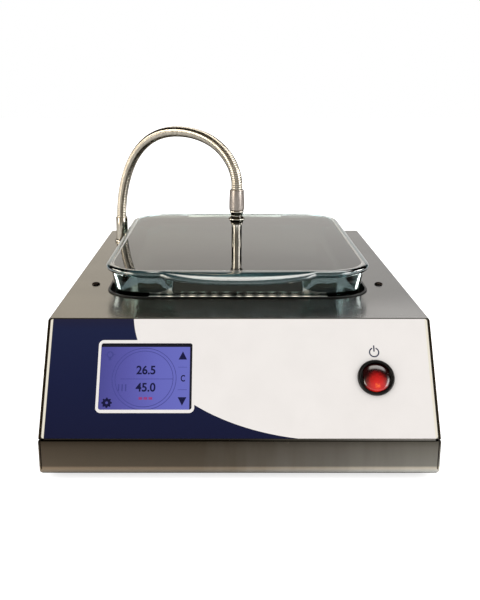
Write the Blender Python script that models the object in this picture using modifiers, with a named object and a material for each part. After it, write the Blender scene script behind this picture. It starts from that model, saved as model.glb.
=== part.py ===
"""Tissue flotation bath: a sloped-front steel heater housing, a lift-out glass dish and a gooseneck water probe.

Metres, +Z up, the front faces -Y. The origin is under the middle of the whole object, on the surface it stands on.
"""

import math

import bmesh
import bpy
from mathutils import Matrix, Vector

# Housing
BODY_WIDTH = 0.254
BODY_DEPTH = 0.3669
LIP_HEIGHT = 0.0228
SLOPE_DEPTH = 0.0501
SLOPE_RISE = 0.0662
SHEET = 0.0012
BEND_RADIUS = 0.0015
PAN_BEND_RADIUS = 0.003
SEAM_GAP = 0.0007
JOINT_GAP = 0.0005
NOTCH_WIDTH = 0.0035
NOTCH_HEIGHT = 0.0018
CLEARANCE = 0.0003
ADHESIVE = 0.0001
CUT_OVERRUN = 0.002

# Cut-out in the top plate and its edge trim
CUTOUT_FROM_SIDE = 0.0299
CUTOUT_FROM_BEND = 0.0505
CUTOUT_FROM_BACK = 0.0148
CUTOUT_RADIUS = 0.030
TRIM_OVER = 0.0018
TRIM_INSIDE = 0.0010
TRIM_RISE = 0.0010

# Label, window and display
LABEL_THICKNESS = 0.0003
LABEL_SIDE_MARGIN = 0.0034
LABEL_TOP_MARGIN = 0.0022
LABEL_BOTTOM_MARGIN = 0.0010
LABEL_RADIUS = 0.0015
DISPLAY_FROM_SIDE = 0.0665
DISPLAY_DOWN = 0.0403
WINDOW_WIDTH = 0.0588
WINDOW_HEIGHT = 0.0438
WINDOW_RADIUS = 0.0008
WINDOW_STEP = 0.0012
PANEL_WIDTH = 0.0692
PANEL_HEIGHT = 0.0500
PANEL_THICKNESS = 0.0040
PANEL_RADIUS = 0.0010
DISPLAY_BOARD_WIDTH = 0.0860
DISPLAY_BOARD_HEIGHT = 0.0520
BOARD_THICKNESS = 0.0016
BOARD_RADIUS = 0.0020
STUD_RADIUS = 0.0014
STUD_INSET = 0.0036
STUD_PROUD = 0.0010
NUT_THICKNESS = 0.0024
NUT_ACROSS_FLATS = 0.0055

# Rocker switch
SWITCH_FROM_SIDE = 0.0386
SWITCH_DOWN = 0.0417
BEZEL_RADIUS = 0.01185
BEZEL_HEIGHT = 0.0022
BEZEL_EDGE = 0.0009
HOUSING_RADIUS = 0.0106
HOUSING_DEPTH = 0.0185
HOUSING_FLOOR = 0.0030
ROCKER_RADIUS = 0.0096
ROCKER_HALF_WIDTH = 0.0082
ROCKER_DOME = 0.0030
ROCKER_SKIRT = 0.0056
ROCKER_AXIS_DEPTH = 0.0010
ROCKER_TILT = math.radians(8.0)
ROCKER_GAP = 0.0004
TRUNNION_RADIUS = 0.0011
TRUNNION_LENGTH = 0.0006
TERMINAL_WIDTH = 0.0048
TERMINAL_THICKNESS = 0.0008
TERMINAL_LENGTH = 0.0080
TERMINAL_PITCH = 0.0055
SNAP_WIDTH = 0.0050
SNAP_PROUD = 0.0008
SNAP_HEIGHT = 0.0050

# Well tray, heater and insulation
TRAY_MARGIN = 0.0030
TRAY_SIDE_FLANGE = 0.0200
TRAY_END_FLANGE = 0.0080
TRAY_SHEET = 0.0010
DISH_SINK = 0.0300
HEATER_MARGIN = 0.0035
HEATER_THICKNESS = 0.0040
HEATER_RADIUS = 0.0240
PAD_THICKNESS = 0.0015
PAD_INSET = 0.0060
INSULATION_THICKNESS = 0.0060
CUTOUT_DISC_RADIUS = 0.0080
CUTOUT_DISC_FLANGE = 0.0022
CUTOUT_DISC_HEIGHT = 0.0115
CUTOUT_DISC_FROM_MIDDLE = 0.0450
DISC_TERMINAL_WIDTH = 0.0060

# Light strip inside the front edge of the cut-out
LED_COUNT = 15
LED_ROW_SHARE = 0.6
LED_WIDTH = 0.0035
LED_HEIGHT = 0.0028
LED_DEPTH = 0.0006
STRIP_HEIGHT = 0.0090
STRIP_THICKNESS = 0.0008
STRIP_END = 0.0050
STRIP_PROUD = 0.0011
LED_FROM_TOP = 0.0003

# Glass dish
DISH_OVER_SIDE = 0.0021
DISH_OVER_END = 0.0023
DISH_HEIGHT = 0.0500
DISH_CORNER = 0.0370
DISH_DRAFT = 0.00725
GLASS = 0.0042
GLASS_FLOOR = 0.0050
RIM_BEAD = 0.0030
RIM_BEAD_HEIGHT = 0.0050
RIM_EASE = 0.0030
HEEL_RADIUS = 0.0090
INNER_HEEL_RADIUS = 0.0070
TAB_WIDTH_SHARE = 0.55
TAB_DEPTH = 0.0130
TAB_THICKNESS = 0.0044
TAB_ROOT = 0.0040
TAB_TILT = math.radians(12.0)
TAB_ROUNDING = 0.0014

# Gooseneck and probe, heights above the top plate
GOOSENECK_FROM_SIDE = 0.0180
GOOSENECK_FROM_BACK = 0.0563
PROBE_X = 0.0
PROBE_AHEAD_OF_MIDDLE = 0.03425
TUBE_RADIUS = 0.0045
TUBE_RIB_DEPTH = 0.0005
TUBE_RIBS = 150
TUBE_BORE_RADIUS = 0.0026
BORE_POINTS = 44
TUBE_START = 0.0066
ARCH_LEG = 0.0245
ARCH_LEG_PULL = 0.0130
ARCH_TOP = 0.1088
ARCH_CROWN_SHARE = 0.573
ARCH_CROWN_PULL_BACK = 0.0840
ARCH_CROWN_PULL_FRONT = 0.0530
ARCH_DROP_PULL = 0.0130
SLEEVE_TOP = 0.0662
SLEEVE_BOTTOM = 0.0496
SLEEVE_RADIUS = 0.0057
SLEEVE_FOOT_RADIUS = 0.0061
SLEEVE_SOCKET = 0.0052
SOCKET_CLEARANCE = 0.0003
COLLAR_BOTTOM = 0.0384
COLLAR_RADIUS = 0.0066
COLLAR_WAIST = 0.0044
COLLAR_EDGE = 0.0008
WAIST_SHARE = 0.36
BULGE_START_SHARE = 0.56
BULGE_END_SHARE = 0.66
ROD_RADIUS = 0.00415
ROD_TIP = 0.0085
LEAD_BORE_RADIUS = 0.0018
BUSH_FLANGE_RADIUS = 0.0068
BUSH_FLANGE_HEIGHT = 0.0020
BUSH_RADIUS = 0.0058
BUSH_LENGTH = 0.0140
BUSH_BORE = 0.0040
HOLE_CLEARANCE = 0.0003
LOCKNUT_ACROSS_FLATS = 0.0155
LOCKNUT_HEIGHT = 0.0050
FERRULE_RADIUS = 0.0055
FERRULE_TOP = 0.0240
FERRULE_EDGE = 0.0004
SPIGOT_LENGTH = 0.0120

# Screws
SIDE_SCREW_HEIGHT = 0.0335
SIDE_SCREW_BACK = 0.0120
SCREW_HEAD_RADIUS = 0.0025
SCREW_HEAD_HEIGHT = 0.0021
SCREW_RADIUS = 0.0015
SCREW_LENGTH = 0.0080
REAR_SCREW_FROM_BACK = 0.0085
TRAY_SCREW_FROM_SIDE = 0.0180
TRAY_SCREW_FROM_BEND = 0.0912
TRAY_SCREW_HEAD_RADIUS = 0.0032
TRAY_SCREW_HEAD_HEIGHT = 0.0014

# Brackets that take the front side screws
BRACKET_WIDTH = 0.0130
BRACKET_FOOT = 0.0140
BRACKET_ABOVE_SCREW = 0.0040

# Rear panel and mains inlet
REAR_FLANGE = 0.0150
VENT_COUNT = 9
VENT_PITCH = 0.0080
VENT_WIDTH = 0.0030
VENT_HEIGHT = 0.0300
VENT_FROM_SIDE = 0.0770
VENT_ABOVE_FLOOR = 0.0480
INLET_FROM_SIDE = 0.0520
INLET_ABOVE_FLOOR = 0.0270
INLET_FLANGE = 0.0025
INLET_FLANGE_WIDTH = 0.0500
INLET_FLANGE_HEIGHT = 0.0240
INLET_FLANGE_RADIUS = 0.0060
INLET_NOTCH_MARGIN = 0.0010
INLET_BODY_WIDTH = 0.0272
INLET_BODY_HEIGHT = 0.0198
INLET_BODY_DEPTH = 0.0240
INLET_BODY_RADIUS = 0.0030
SOCKET_WIDTH = 0.0240
SOCKET_HEIGHT = 0.0164
SOCKET_DEPTH = 0.0180
PIN_WIDTH = 0.0020
PIN_HEIGHT = 0.0040
PIN_LENGTH = 0.0120
PIN_SPREAD = 0.0070
PIN_RISE = 0.0020
INLET_SCREW_SPREAD = 0.0200
INLET_SCREW_HEAD_RADIUS = 0.0028
INLET_SCREW_HEAD_HEIGHT = 0.0014

# Feet
FOOT_HEIGHT = 0.0045
FOOT_TOP_RADIUS = 0.0100
FOOT_BOTTOM_RADIUS = 0.0085
FOOT_RECESS_RADIUS = 0.0045
FOOT_RECESS_DEPTH = 0.0028
FOOT_EDGE = 0.0008
FOOT_INSET = 0.0300
FOOT_SCREW_LENGTH = 0.0085

# Floor vents
FLOOR_VENT_COUNT = 8
FLOOR_VENT_PITCH = 0.0100
FLOOR_VENT_WIDTH = 0.0035
FLOOR_VENT_LENGTH = 0.0320
FLOOR_VENT_Y = 0.0100

# Electronics on the floor of the pan
STANDOFF_HEIGHT = 0.0080
STANDOFF_RADIUS = 0.0028
STANDOFF_INSET = 0.0050
CONTROL_SIDE_SHARE = 0.2165
CONTROL_FROM_FRONT = 0.1550
CONTROL_WIDTH = 0.1000
CONTROL_LENGTH = 0.0800
RELAY_WIDTH = 0.0200
RELAY_LENGTH = 0.0160
RELAY_HEIGHT = 0.0155
RELAY_FROM_MIDDLE = 0.0340
TERMINALS_COUNT = 6
TERMINALS_PITCH = 0.0080
TERMINALS_DEPTH = 0.0100
TERMINALS_HEIGHT = 0.0110
TERMINALS_SCREW_RADIUS = 0.0020
TERMINALS_SCREW_DEPTH = 0.0015
TERMINALS_FROM_EDGE = 0.0080
SUPPLY_SIDE_SHARE = 0.2362
SUPPLY_FROM_FRONT = 0.1900
SUPPLY_WIDTH = 0.0820
SUPPLY_LENGTH = 0.0980
SUPPLY_HEIGHT = 0.0300
SUPPLY_EDGE = 0.0010
SUPPLY_STEP_LENGTH = 0.0140
SUPPLY_STEP_DEPTH = 0.0120
SUPPLY_TERMINAL_COUNT = 5
SUPPLY_TERMINAL_PITCH = 0.0100

# Wiring
LEAD_RADIUS = 0.0012
CABLE_RADIUS = 0.0018
LEAD_HOLE_RADIUS = 0.0022
LEAD_BEND = 0.0120
LONG_BEND = 0.0300
LEAD_DROP = 0.0110
DISPLAY_LEAD_FROM_EDGE = 0.0100
HEATER_LEAD_X = -0.0600
HEATER_LEAD_FROM_MIDDLE = -0.0220
PROBE_LEAD_FROM_EDGE = 0.0080
LIGHT_LEAD_X = -0.0350
LIGHT_LEAD_FROM_EDGE = 0.0120
LIGHT_LEAD_ABOVE_STRIP_END = 0.0020

# Fineness of round shapes, and how near two corners count as one
WELD = 0.00001
SHARP_ANGLE = math.radians(35)
FACING_SHARE = 0.99
ROUND_STEPS = 24
SMALL_STEPS = 12
HEAD_STEPS = 3
LEAD_POINTS = 12
CORNER_STEPS = 6
ARC_STEPS = 4
BEND_STEPS = 3

# Places worked out from the sizes above
FLOOR_BOTTOM = FOOT_HEIGHT
FLOOR_TOP = FLOOR_BOTTOM + SHEET
LIP_TOP = FLOOR_BOTTOM + LIP_HEIGHT
PLATE_TOP = LIP_TOP + SLOPE_RISE
PLATE_UNDER = PLATE_TOP - SHEET
FRONT_Y = -(BODY_DEPTH + INLET_FLANGE - SHEET) / 2
REAR_Y = FRONT_Y + BODY_DEPTH
BEND_Y = FRONT_Y + SLOPE_DEPTH
SLOPE_LENGTH = math.hypot(SLOPE_DEPTH, SLOPE_RISE)
SLOPE_LEAN = math.atan2(SLOPE_DEPTH, SLOPE_RISE)
SIDE_INNER_X = BODY_WIDTH / 2 - SHEET
PANEL_OUTER_Y = REAR_Y - SHEET - CLEARANCE
CUTOUT_WIDTH = BODY_WIDTH - 2 * CUTOUT_FROM_SIDE
CUTOUT_LENGTH = BODY_DEPTH - SLOPE_DEPTH - CUTOUT_FROM_BEND - CUTOUT_FROM_BACK
CUTOUT_Y = BEND_Y + CUTOUT_FROM_BEND + CUTOUT_LENGTH / 2
DISPLAY_X = -BODY_WIDTH / 2 + DISPLAY_FROM_SIDE
SWITCH_X = BODY_WIDTH / 2 - SWITCH_FROM_SIDE
TRAY_SCREW_X = BODY_WIDTH / 2 - TRAY_SCREW_FROM_SIDE
VENT_X = -BODY_WIDTH / 2 + VENT_FROM_SIDE
INLET_X = BODY_WIDTH / 2 - INLET_FROM_SIDE
CONTROL_X = -BODY_WIDTH * CONTROL_SIDE_SHARE
SUPPLY_X = BODY_WIDTH * SUPPLY_SIDE_SHARE
LED_PITCH = CUTOUT_WIDTH * LED_ROW_SHARE / (LED_COUNT - 1)
DISH_WIDTH = CUTOUT_WIDTH + 2 * DISH_OVER_SIDE
DISH_LENGTH = CUTOUT_LENGTH + 2 * DISH_OVER_END
TAB_WIDTH = DISH_WIDTH * TAB_WIDTH_SHARE
LABEL_FACE = ADHESIVE + LABEL_THICKNESS
TRAY_TOP = PLATE_UNDER - CLEARANCE
DISH_BOTTOM = PLATE_TOP - DISH_SINK
HEATER_TOP = DISH_BOTTOM - CLEARANCE
PAD_TOP = HEATER_TOP - HEATER_THICKNESS - CLEARANCE
INSULATION_TOP = PAD_TOP - PAD_THICKNESS - CLEARANCE
TRAY_FLOOR_TOP = INSULATION_TOP - INSULATION_THICKNESS - CLEARANCE
TRAY_INNER_X = CUTOUT_WIDTH / 2 + TRAY_MARGIN
TRAY_INNER_Y = CUTOUT_LENGTH / 2 + TRAY_MARGIN
TRAY_CORNER = CUTOUT_RADIUS + TRAY_MARGIN
GOOSENECK_X = -BODY_WIDTH / 2 + GOOSENECK_FROM_SIDE
GOOSENECK_Y = REAR_Y - GOOSENECK_FROM_BACK
PROBE_Y = CUTOUT_Y - PROBE_AHEAD_OF_MIDDLE
ARCH_SPAN = math.hypot(PROBE_X - GOOSENECK_X, PROBE_Y - GOOSENECK_Y)
ARCH_HEADING = math.atan2(PROBE_Y - GOOSENECK_Y, PROBE_X - GOOSENECK_X)
ARCH_CROWN = ARCH_SPAN * ARCH_CROWN_SHARE
TUBE_END = SLEEVE_TOP - SLEEVE_SOCKET + SOCKET_CLEARANCE
ARCH_DROP = TUBE_END + 2 * TUBE_RADIUS
BOARD_BOTTOM = FLOOR_TOP + STANDOFF_HEIGHT + CLEARANCE
SCREW_HOLE_RADIUS = SCREW_RADIUS + HOLE_CLEARANCE

FINISHES = {
    "stainless_steel": ("9B9A92", 0.32, 1.0),
    "bright_steel": ("C9C6C0", 0.15, 1.0),
    "satin_chrome": ("CFC8C6", 0.35, 1.0),
    "black_oxide": ("2A2522", 0.45, 0.6),
    "printed_film": ("EFEBE7", 0.35, 0.0),
    "display_glass": ("6C6DC4", 0.20, 0.0),
    "circuit_board": ("1F5E3A", 0.50, 0.0),
    "black_nylon": ("161616", 0.35, 0.0),
    "red_lens": ("B3160F", 0.15, 0.0),
    "black_silicone": ("141414", 0.60, 0.0),
    "aluminium": ("B9BBBC", 0.35, 1.0),
    "heater_silicone": ("B5552B", 0.65, 0.0),
    "ceramic_fibre": ("E6E2D6", 0.90, 0.0),
    "led_board": ("F4F4F0", 0.40, 0.0),
    "tinted_glass": ("A9D2CF", 0.05, 0.0),
    "nickel_tube": ("A69C8C", 0.25, 1.0),
    "rubber": ("1B1B1B", 0.80, 0.0),
    "relay_case": ("22262B", 0.40, 0.0),
    "terminal_green": ("2F7D46", 0.45, 0.0),
    "wire_sleeve": ("8C8F94", 0.55, 0.0),
}


def linear(channel):
    """One sRGB channel as the linear value a shader takes."""
    if channel <= 0.04045:
        return channel / 12.92
    return ((channel + 0.055) / 1.055) ** 2.4


def finish_material(name, finish):
    """A Principled material for one sub-part, from the table of finishes."""
    code, roughness, metallic = FINISHES[finish]
    rgb = [linear(int(code[i : i + 2], 16) / 255) for i in (0, 2, 4)]
    material = bpy.data.materials.new(name + "_" + finish)
    material.use_nodes = True
    shader = material.node_tree.nodes["Principled BSDF"]
    shader.inputs["Base Color"].default_value = (*rgb, 1.0)
    shader.inputs["Roughness"].default_value = roughness
    shader.inputs["Metallic"].default_value = metallic
    if finish == "tinted_glass":
        shader.inputs["Transmission Weight"].default_value = 1.0
    return material


def collection(name):
    """A new collection in the scene."""
    made = bpy.data.collections.new(name)
    bpy.context.scene.collection.children.link(made)
    return made


def guide(name, location, rotation=(0.0, 0.0, 0.0), parent=None):
    """An empty that carries pieces: a slope, a joint axis."""
    empty = bpy.data.objects.new(name, None)
    PARTS.objects.link(empty)
    empty.location = location
    empty.rotation_euler = rotation
    empty.parent = parent
    return empty


def place(name, bm, finish, parent=None, location=(0.0, 0.0, 0.0), rotation=(0.0, 0.0, 0.0), smooth=True):
    """Turns a bmesh into a named sub-part with its own material."""
    mesh = bpy.data.meshes.new(name)
    bm.to_mesh(mesh)
    bm.free()
    if smooth:
        mesh.shade_smooth()
        mesh.set_sharp_from_angle(angle=SHARP_ANGLE)
    piece = bpy.data.objects.new(name, mesh)
    PARTS.objects.link(piece)
    piece.data.materials.append(finish_material(name, finish))
    piece.parent = parent
    piece.location = location
    piece.rotation_euler = rotation
    return piece


def cutter(name, bm, parent=None, location=(0.0, 0.0, 0.0), rotation=(0.0, 0.0, 0.0)):
    """Turns a bmesh into a hidden tool shape for a Boolean."""
    mesh = bpy.data.meshes.new(name)
    bm.to_mesh(mesh)
    bm.free()
    tool = bpy.data.objects.new(name, mesh)
    CUTTERS.objects.link(tool)
    tool.parent = parent
    tool.location = location
    tool.rotation_euler = rotation
    tool.hide_render = True
    tool.display_type = "WIRE"
    return tool


def combine(piece, tool, operation="DIFFERENCE"):
    """Cuts a tool from a piece, or joins it on."""
    boolean = piece.modifiers.new(tool.name, "BOOLEAN")
    boolean.operation = operation
    boolean.solver = "EXACT"
    boolean.object = tool
    return piece


def box_mesh(size, centre=(0.0, 0.0, 0.0), bm=None):
    """A box of the given size about a centre, added to a bmesh."""
    bm = bm or bmesh.new()
    made = bmesh.ops.create_cube(bm, size=1.0)
    bmesh.ops.scale(bm, vec=size, verts=made["verts"])
    bmesh.ops.translate(bm, vec=centre, verts=made["verts"])
    return bm


def rounded_box_mesh(size, radius, centre=(0.0, 0.0, 0.0), steps=CORNER_STEPS):
    """A box whose upright edges are rounded."""
    bm = box_mesh(size)
    upright = [e for e in bm.edges if abs(e.verts[0].co.z - e.verts[1].co.z) > size[2] / 2]
    bmesh.ops.bevel(bm, geom=upright, offset=radius, segments=steps, profile=0.5, affect="EDGES")
    bmesh.ops.translate(bm, vec=centre, verts=bm.verts)
    return bm


def cylinder_mesh(radius, height, centre=(0.0, 0.0, 0.0), axis="Z", steps=SMALL_STEPS, bm=None):
    """A cylinder about a centre, along X, Y or Z."""
    bm = bm or bmesh.new()
    made = bmesh.ops.create_cone(
        bm, cap_ends=True, segments=steps, radius1=radius, radius2=radius, depth=height
    )
    turn = {"X": Matrix.Rotation(math.pi / 2, 3, "Y"), "Y": Matrix.Rotation(math.pi / 2, 3, "X"), "Z": Matrix.Identity(3)}
    bmesh.ops.rotate(bm, cent=(0.0, 0.0, 0.0), matrix=turn[axis], verts=made["verts"])
    bmesh.ops.translate(bm, vec=centre, verts=made["verts"])
    return bm


def soften(bm, edges, radius, steps=BEND_STEPS):
    """Rounds the chosen edges."""
    bmesh.ops.bevel(bm, geom=edges, offset=radius, segments=steps, profile=0.5, affect="EDGES", clamp_overlap=True)
    return bm


def turned(name, profile, finish, parent=None, location=(0.0, 0.0, 0.0), rotation=(0.0, 0.0, 0.0), steps=SMALL_STEPS):
    """A turned piece. The profile runs down its outer side; a bored one comes back up the bore and closes."""
    bm = bmesh.new()
    points = [bm.verts.new((radius, 0.0, height)) for radius, height in profile]
    for above, below in zip(points, points[1:]):
        bm.edges.new((above, below))
    if profile[0][0] > 0.0:
        bm.edges.new((points[-1], points[0]))
    piece = place(name, bm, finish, parent, location, rotation, smooth=False)
    screw = piece.modifiers.new("turn", "SCREW")
    screw.axis = "Z"
    screw.angle = math.tau
    screw.steps = steps
    screw.render_steps = steps
    screw.use_merge_vertices = True
    screw.merge_threshold = 0.00001
    screw.use_smooth_shade = True
    return piece


def arc(centre_radius, centre_height, radius, start, end, steps=ARC_STEPS):
    """Points of an arc in a profile, angles in degrees from the outward direction."""
    points = []
    for i in range(steps + 1):
        angle = math.radians(start + (end - start) * i / steps)
        points.append((centre_radius + radius * math.cos(angle), centre_height + radius * math.sin(angle)))
    return points


def rectangle_ring(bm, half_x, half_y, radius, z, steps=CORNER_STEPS):
    """Points round a rectangle with rounded corners."""
    verts = []
    for quarter, (sign_x, sign_y) in enumerate(((1, 1), (-1, 1), (-1, -1), (1, -1))):
        for i in range(steps + 1):
            angle = math.pi / 2 * (quarter + i / steps)
            x = sign_x * (half_x - radius) + radius * math.cos(angle)
            y = sign_y * (half_y - radius) + radius * math.sin(angle)
            verts.append(bm.verts.new((x, y, z)))
    return verts


def loft_mesh(rings, closed=False):
    """Joins rings of (half x, half y, corner radius, z) into a skin, capped at both ends or closed on itself."""
    bm = bmesh.new()
    loops = [rectangle_ring(bm, *ring) for ring in rings]
    pairs = list(zip(loops, loops[1:]))
    if closed:
        pairs.append((loops[-1], loops[0]))
    for lower, upper in pairs:
        for i in range(len(lower)):
            bm.faces.new((lower[i - 1], lower[i], upper[i], upper[i - 1]))
    if not closed:
        bm.faces.new(loops[0])
        bm.faces.new(loops[-1])
    bmesh.ops.recalc_face_normals(bm, faces=bm.faces)
    return bm


def delete_faces(bm, directions):
    """Opens a box by taking away the faces that look along the given directions."""
    bm.normal_update()
    gone = [f for f in bm.faces if any(f.normal.dot(Vector(d)) > FACING_SHARE for d in directions)]
    bmesh.ops.delete(bm, geom=gone, context="FACES")
    return bm


def thicken(piece, thickness):
    """Gives an open sheet its thickness, inwards."""
    solidify = piece.modifiers.new("sheet", "SOLIDIFY")
    solidify.thickness = thickness
    solidify.offset = -1.0
    solidify.use_even_offset = True
    return piece


def slope_z(down):
    """A distance down the slope, in the slope frame, whose +Z points up the slope from its lower edge."""
    return SLOPE_LENGTH - down


def screw_profile(head_radius, head_height, shank_radius, length):
    """A pan-head screw that points down, with its head above zero."""
    crown = [(head_radius * math.sin(a), head_height * math.cos(a)) for a in quarter_steps(HEAD_STEPS)]
    return crown + [(head_radius, 0.0), (shank_radius, 0.0), (shank_radius, -length), (0.0, -length)]


def quarter_steps(steps):
    """Angles from the pole of a dome to near its rim."""
    return [math.pi / 2 * i / steps for i in range(steps)]


# Housing
def base_pan():
    """The pan: floor, front lip, side and rear walls in one sheet, with seams, vents and stand-offs."""
    pan = place("base_pan", pan_mesh(0.0, 0.0), "stainless_steel")
    combine(pan, cutter("pan_inside", pan_mesh(SHEET, CUT_OVERRUN)))
    slots = bmesh.new()
    for side in (-1, 1):
        x = side * SIDE_INNER_X
        low_z = FLOOR_BOTTOM + PAN_BEND_RADIUS + SEAM_GAP
        size = (SEAM_GAP, SHEET * 2 + CUT_OVERRUN, LIP_TOP + CUT_OVERRUN - low_z)
        box_mesh(size, (x, FRONT_Y, low_z + size[2] / 2), slots)
    for i in range(FLOOR_VENT_COUNT):
        x = (i - (FLOOR_VENT_COUNT - 1) / 2) * FLOOR_VENT_PITCH
        size = (FLOOR_VENT_WIDTH, FLOOR_VENT_LENGTH, SHEET + 2 * CUT_OVERRUN)
        box_mesh(size, (x, FRONT_Y + FOOT_INSET + FLOOR_VENT_LENGTH / 2 + FLOOR_VENT_Y, FLOOR_BOTTOM + SHEET / 2), slots)
    for x, y in foot_places():
        cylinder_mesh(SCREW_HOLE_RADIUS, SHEET + 2 * CUT_OVERRUN, (x, y, FLOOR_BOTTOM + SHEET / 2), bm=slots)
    notch_width = INLET_FLANGE_WIDTH + 2 * INLET_NOTCH_MARGIN
    notch_low = inlet_z() - INLET_FLANGE_HEIGHT / 2 - INLET_NOTCH_MARGIN
    notch_height = LIP_TOP + CUT_OVERRUN - notch_low
    notch_at = (INLET_X, REAR_Y - SHEET / 2, notch_low + notch_height / 2)
    box_mesh((notch_width, SHEET + 2 * CUT_OVERRUN, notch_height), notch_at, slots)
    combine(pan, cutter("pan_slots", slots))
    posts = bmesh.new()
    for x, y in standoff_places():
        height = STANDOFF_HEIGHT + SHEET / 2
        cylinder_mesh(STANDOFF_RADIUS, height, (x, y, FLOOR_TOP + STANDOFF_HEIGHT - height / 2), bm=posts)
    return combine(pan, cutter("pan_standoffs", posts), "UNION")


def pan_mesh(inset, above):
    """The pan's outline as a solid with rounded lower edges, drawn in by an inset and taller by an overrun."""
    height = LIP_HEIGHT - inset + above
    size = (BODY_WIDTH - 2 * inset, BODY_DEPTH - 2 * inset, height)
    bm = box_mesh(size, (0.0, (FRONT_Y + REAR_Y) / 2, FLOOR_BOTTOM + inset + height / 2))
    low = [e for e in bm.edges if all(v.co.z < FLOOR_BOTTOM + LIP_HEIGHT / 2 for v in e.verts)]
    return soften(bm, low, PAN_BEND_RADIUS - inset)


def foot_places():
    """Centres of the four feet."""
    x = BODY_WIDTH / 2 - FOOT_INSET
    return [(-x, FRONT_Y + FOOT_INSET), (x, FRONT_Y + FOOT_INSET), (-x, REAR_Y - FOOT_INSET), (x, REAR_Y - FOOT_INSET)]


def standoff_places():
    """Centres of the control board's four stand-offs."""
    x = CONTROL_WIDTH / 2 - STANDOFF_INSET
    y = CONTROL_LENGTH / 2 - STANDOFF_INSET
    middle_y = FRONT_Y + CONTROL_FROM_FRONT
    return [(CONTROL_X + i * x, middle_y + j * y) for i in (-1, 1) for j in (-1, 1)]


def top_cover():
    """The cover: top plate, sloped front and two sides bent from one sheet, open below and behind."""
    outer = wedge_mesh(0.0, 0.0)
    top = [e for e in outer.edges if all(v.co.z > PLATE_UNDER for v in e.verts)]
    soften(outer, [e for e in top if min(v.co.y for v in e.verts) < CUTOUT_Y < max(v.co.y for v in e.verts)], BEND_RADIUS)
    soften(outer, [e for e in outer.edges if e.calc_length() > BODY_WIDTH / 2 and is_bend(e)], BEND_RADIUS)
    cover = place("top_cover", outer, "stainless_steel")
    combine(cover, cutter("cover_inside", wedge_mesh(SHEET, CUT_OVERRUN)))
    opening = rounded_box_mesh(
        (CUTOUT_WIDTH, CUTOUT_LENGTH, SHEET + 2 * CUT_OVERRUN), CUTOUT_RADIUS, (0.0, CUTOUT_Y, PLATE_TOP - SHEET / 2)
    )
    combine(cover, cutter("dish_cutout", opening))
    holes = bmesh.new()
    through = SHEET + 2 * CUT_OVERRUN
    bush_hole = BUSH_RADIUS + HOLE_CLEARANCE
    cylinder_mesh(bush_hole, through, (GOOSENECK_X, GOOSENECK_Y, PLATE_TOP - SHEET / 2), steps=ROUND_STEPS, bm=holes)
    for side in (-1, 1):
        place_at = (side * TRAY_SCREW_X, BEND_Y + TRAY_SCREW_FROM_BEND, PLATE_TOP - SHEET / 2)
        cylinder_mesh(SCREW_HOLE_RADIUS, through, place_at, bm=holes)
        for y in (front_screw_y(), rear_screw_y()):
            cylinder_mesh(SCREW_HOLE_RADIUS, through, (side * (BODY_WIDTH - SHEET) / 2, y, side_screw_z()), "X", bm=holes)
    combine(cover, cutter("cover_holes", holes))
    seams = bmesh.new()
    notches = bmesh.new()
    for side in (-1, 1):
        x = side * SIDE_INNER_X
        seam_length = SLOPE_LENGTH - BEND_RADIUS
        box_mesh((SEAM_GAP, 2 * SHEET + CUT_OVERRUN, seam_length), (x, 0.0, seam_length / 2), seams)
        notch_size = (NOTCH_WIDTH + CUT_OVERRUN, 2 * SHEET + CUT_OVERRUN, 2 * NOTCH_HEIGHT)
        notch_x = side * (BODY_WIDTH - NOTCH_WIDTH + CUT_OVERRUN) / 2
        box_mesh(notch_size, (notch_x, 0.0, 0.0), notches)
    combine(cover, cutter("cover_seams", seams, SLOPE))
    combine(cover, cutter("cover_notches", notches, SLOPE))
    window = rounded_box_mesh((WINDOW_WIDTH + WINDOW_STEP, WINDOW_HEIGHT + WINDOW_STEP, 2 * SHEET + CUT_OVERRUN), WINDOW_RADIUS)
    combine(cover, cutter("cover_window", window, SLOPE, (DISPLAY_X, 0.0, slope_z(DISPLAY_DOWN)), (math.pi / 2, 0.0, 0.0)))
    hole = cylinder_mesh(HOUSING_RADIUS + HOLE_CLEARANCE, 2 * SHEET + CUT_OVERRUN, axis="Y", steps=ROUND_STEPS)
    combine(cover, cutter("cover_switch_hole", hole, SLOPE, (SWITCH_X, 0.0, slope_z(SWITCH_DOWN))))
    studs = bmesh.new()
    reach = display_stack() + NUT_THICKNESS + CLEARANCE + STUD_PROUD
    for x, z in stud_places():
        length = reach + SHEET / 2
        cylinder_mesh(STUD_RADIUS, length, (x, SHEET / 2 + length / 2, z), "Y", bm=studs)
    return combine(cover, cutter("cover_studs", studs, SLOPE), "UNION")


def is_bend(edge):
    """Whether an edge runs across the cover where the top plate turns down into the slope."""
    return all(v.co.z > PLATE_UNDER and v.co.y < CUTOUT_Y for v in edge.verts)


def wedge_mesh(inset, overrun):
    """The cover's outline as a solid with its sloped front, drawn in by an inset, run out below and behind."""
    bottom = LIP_TOP + JOINT_GAP - overrun
    height = PLATE_TOP - inset - bottom
    back = REAR_Y + overrun
    bm = box_mesh((BODY_WIDTH - 2 * inset, back - FRONT_Y, height), (0.0, (FRONT_Y + back) / 2, bottom + height / 2))
    outward = Vector((0.0, -SLOPE_RISE, SLOPE_DEPTH)).normalized()
    cut = bmesh.ops.bisect_plane(
        bm,
        geom=bm.verts[:] + bm.edges[:] + bm.faces[:],
        plane_co=Vector((0.0, BEND_Y, PLATE_TOP)) - outward * inset,
        plane_no=outward,
        clear_outer=True,
    )
    bmesh.ops.contextual_create(bm, geom=[g for g in cut["geom_cut"] if isinstance(g, bmesh.types.BMEdge)])
    bmesh.ops.recalc_face_normals(bm, faces=bm.faces)
    return bm


def side_screw_z():
    """Height of the screws in the cover's sides."""
    return LIP_TOP + SIDE_SCREW_HEIGHT


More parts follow.
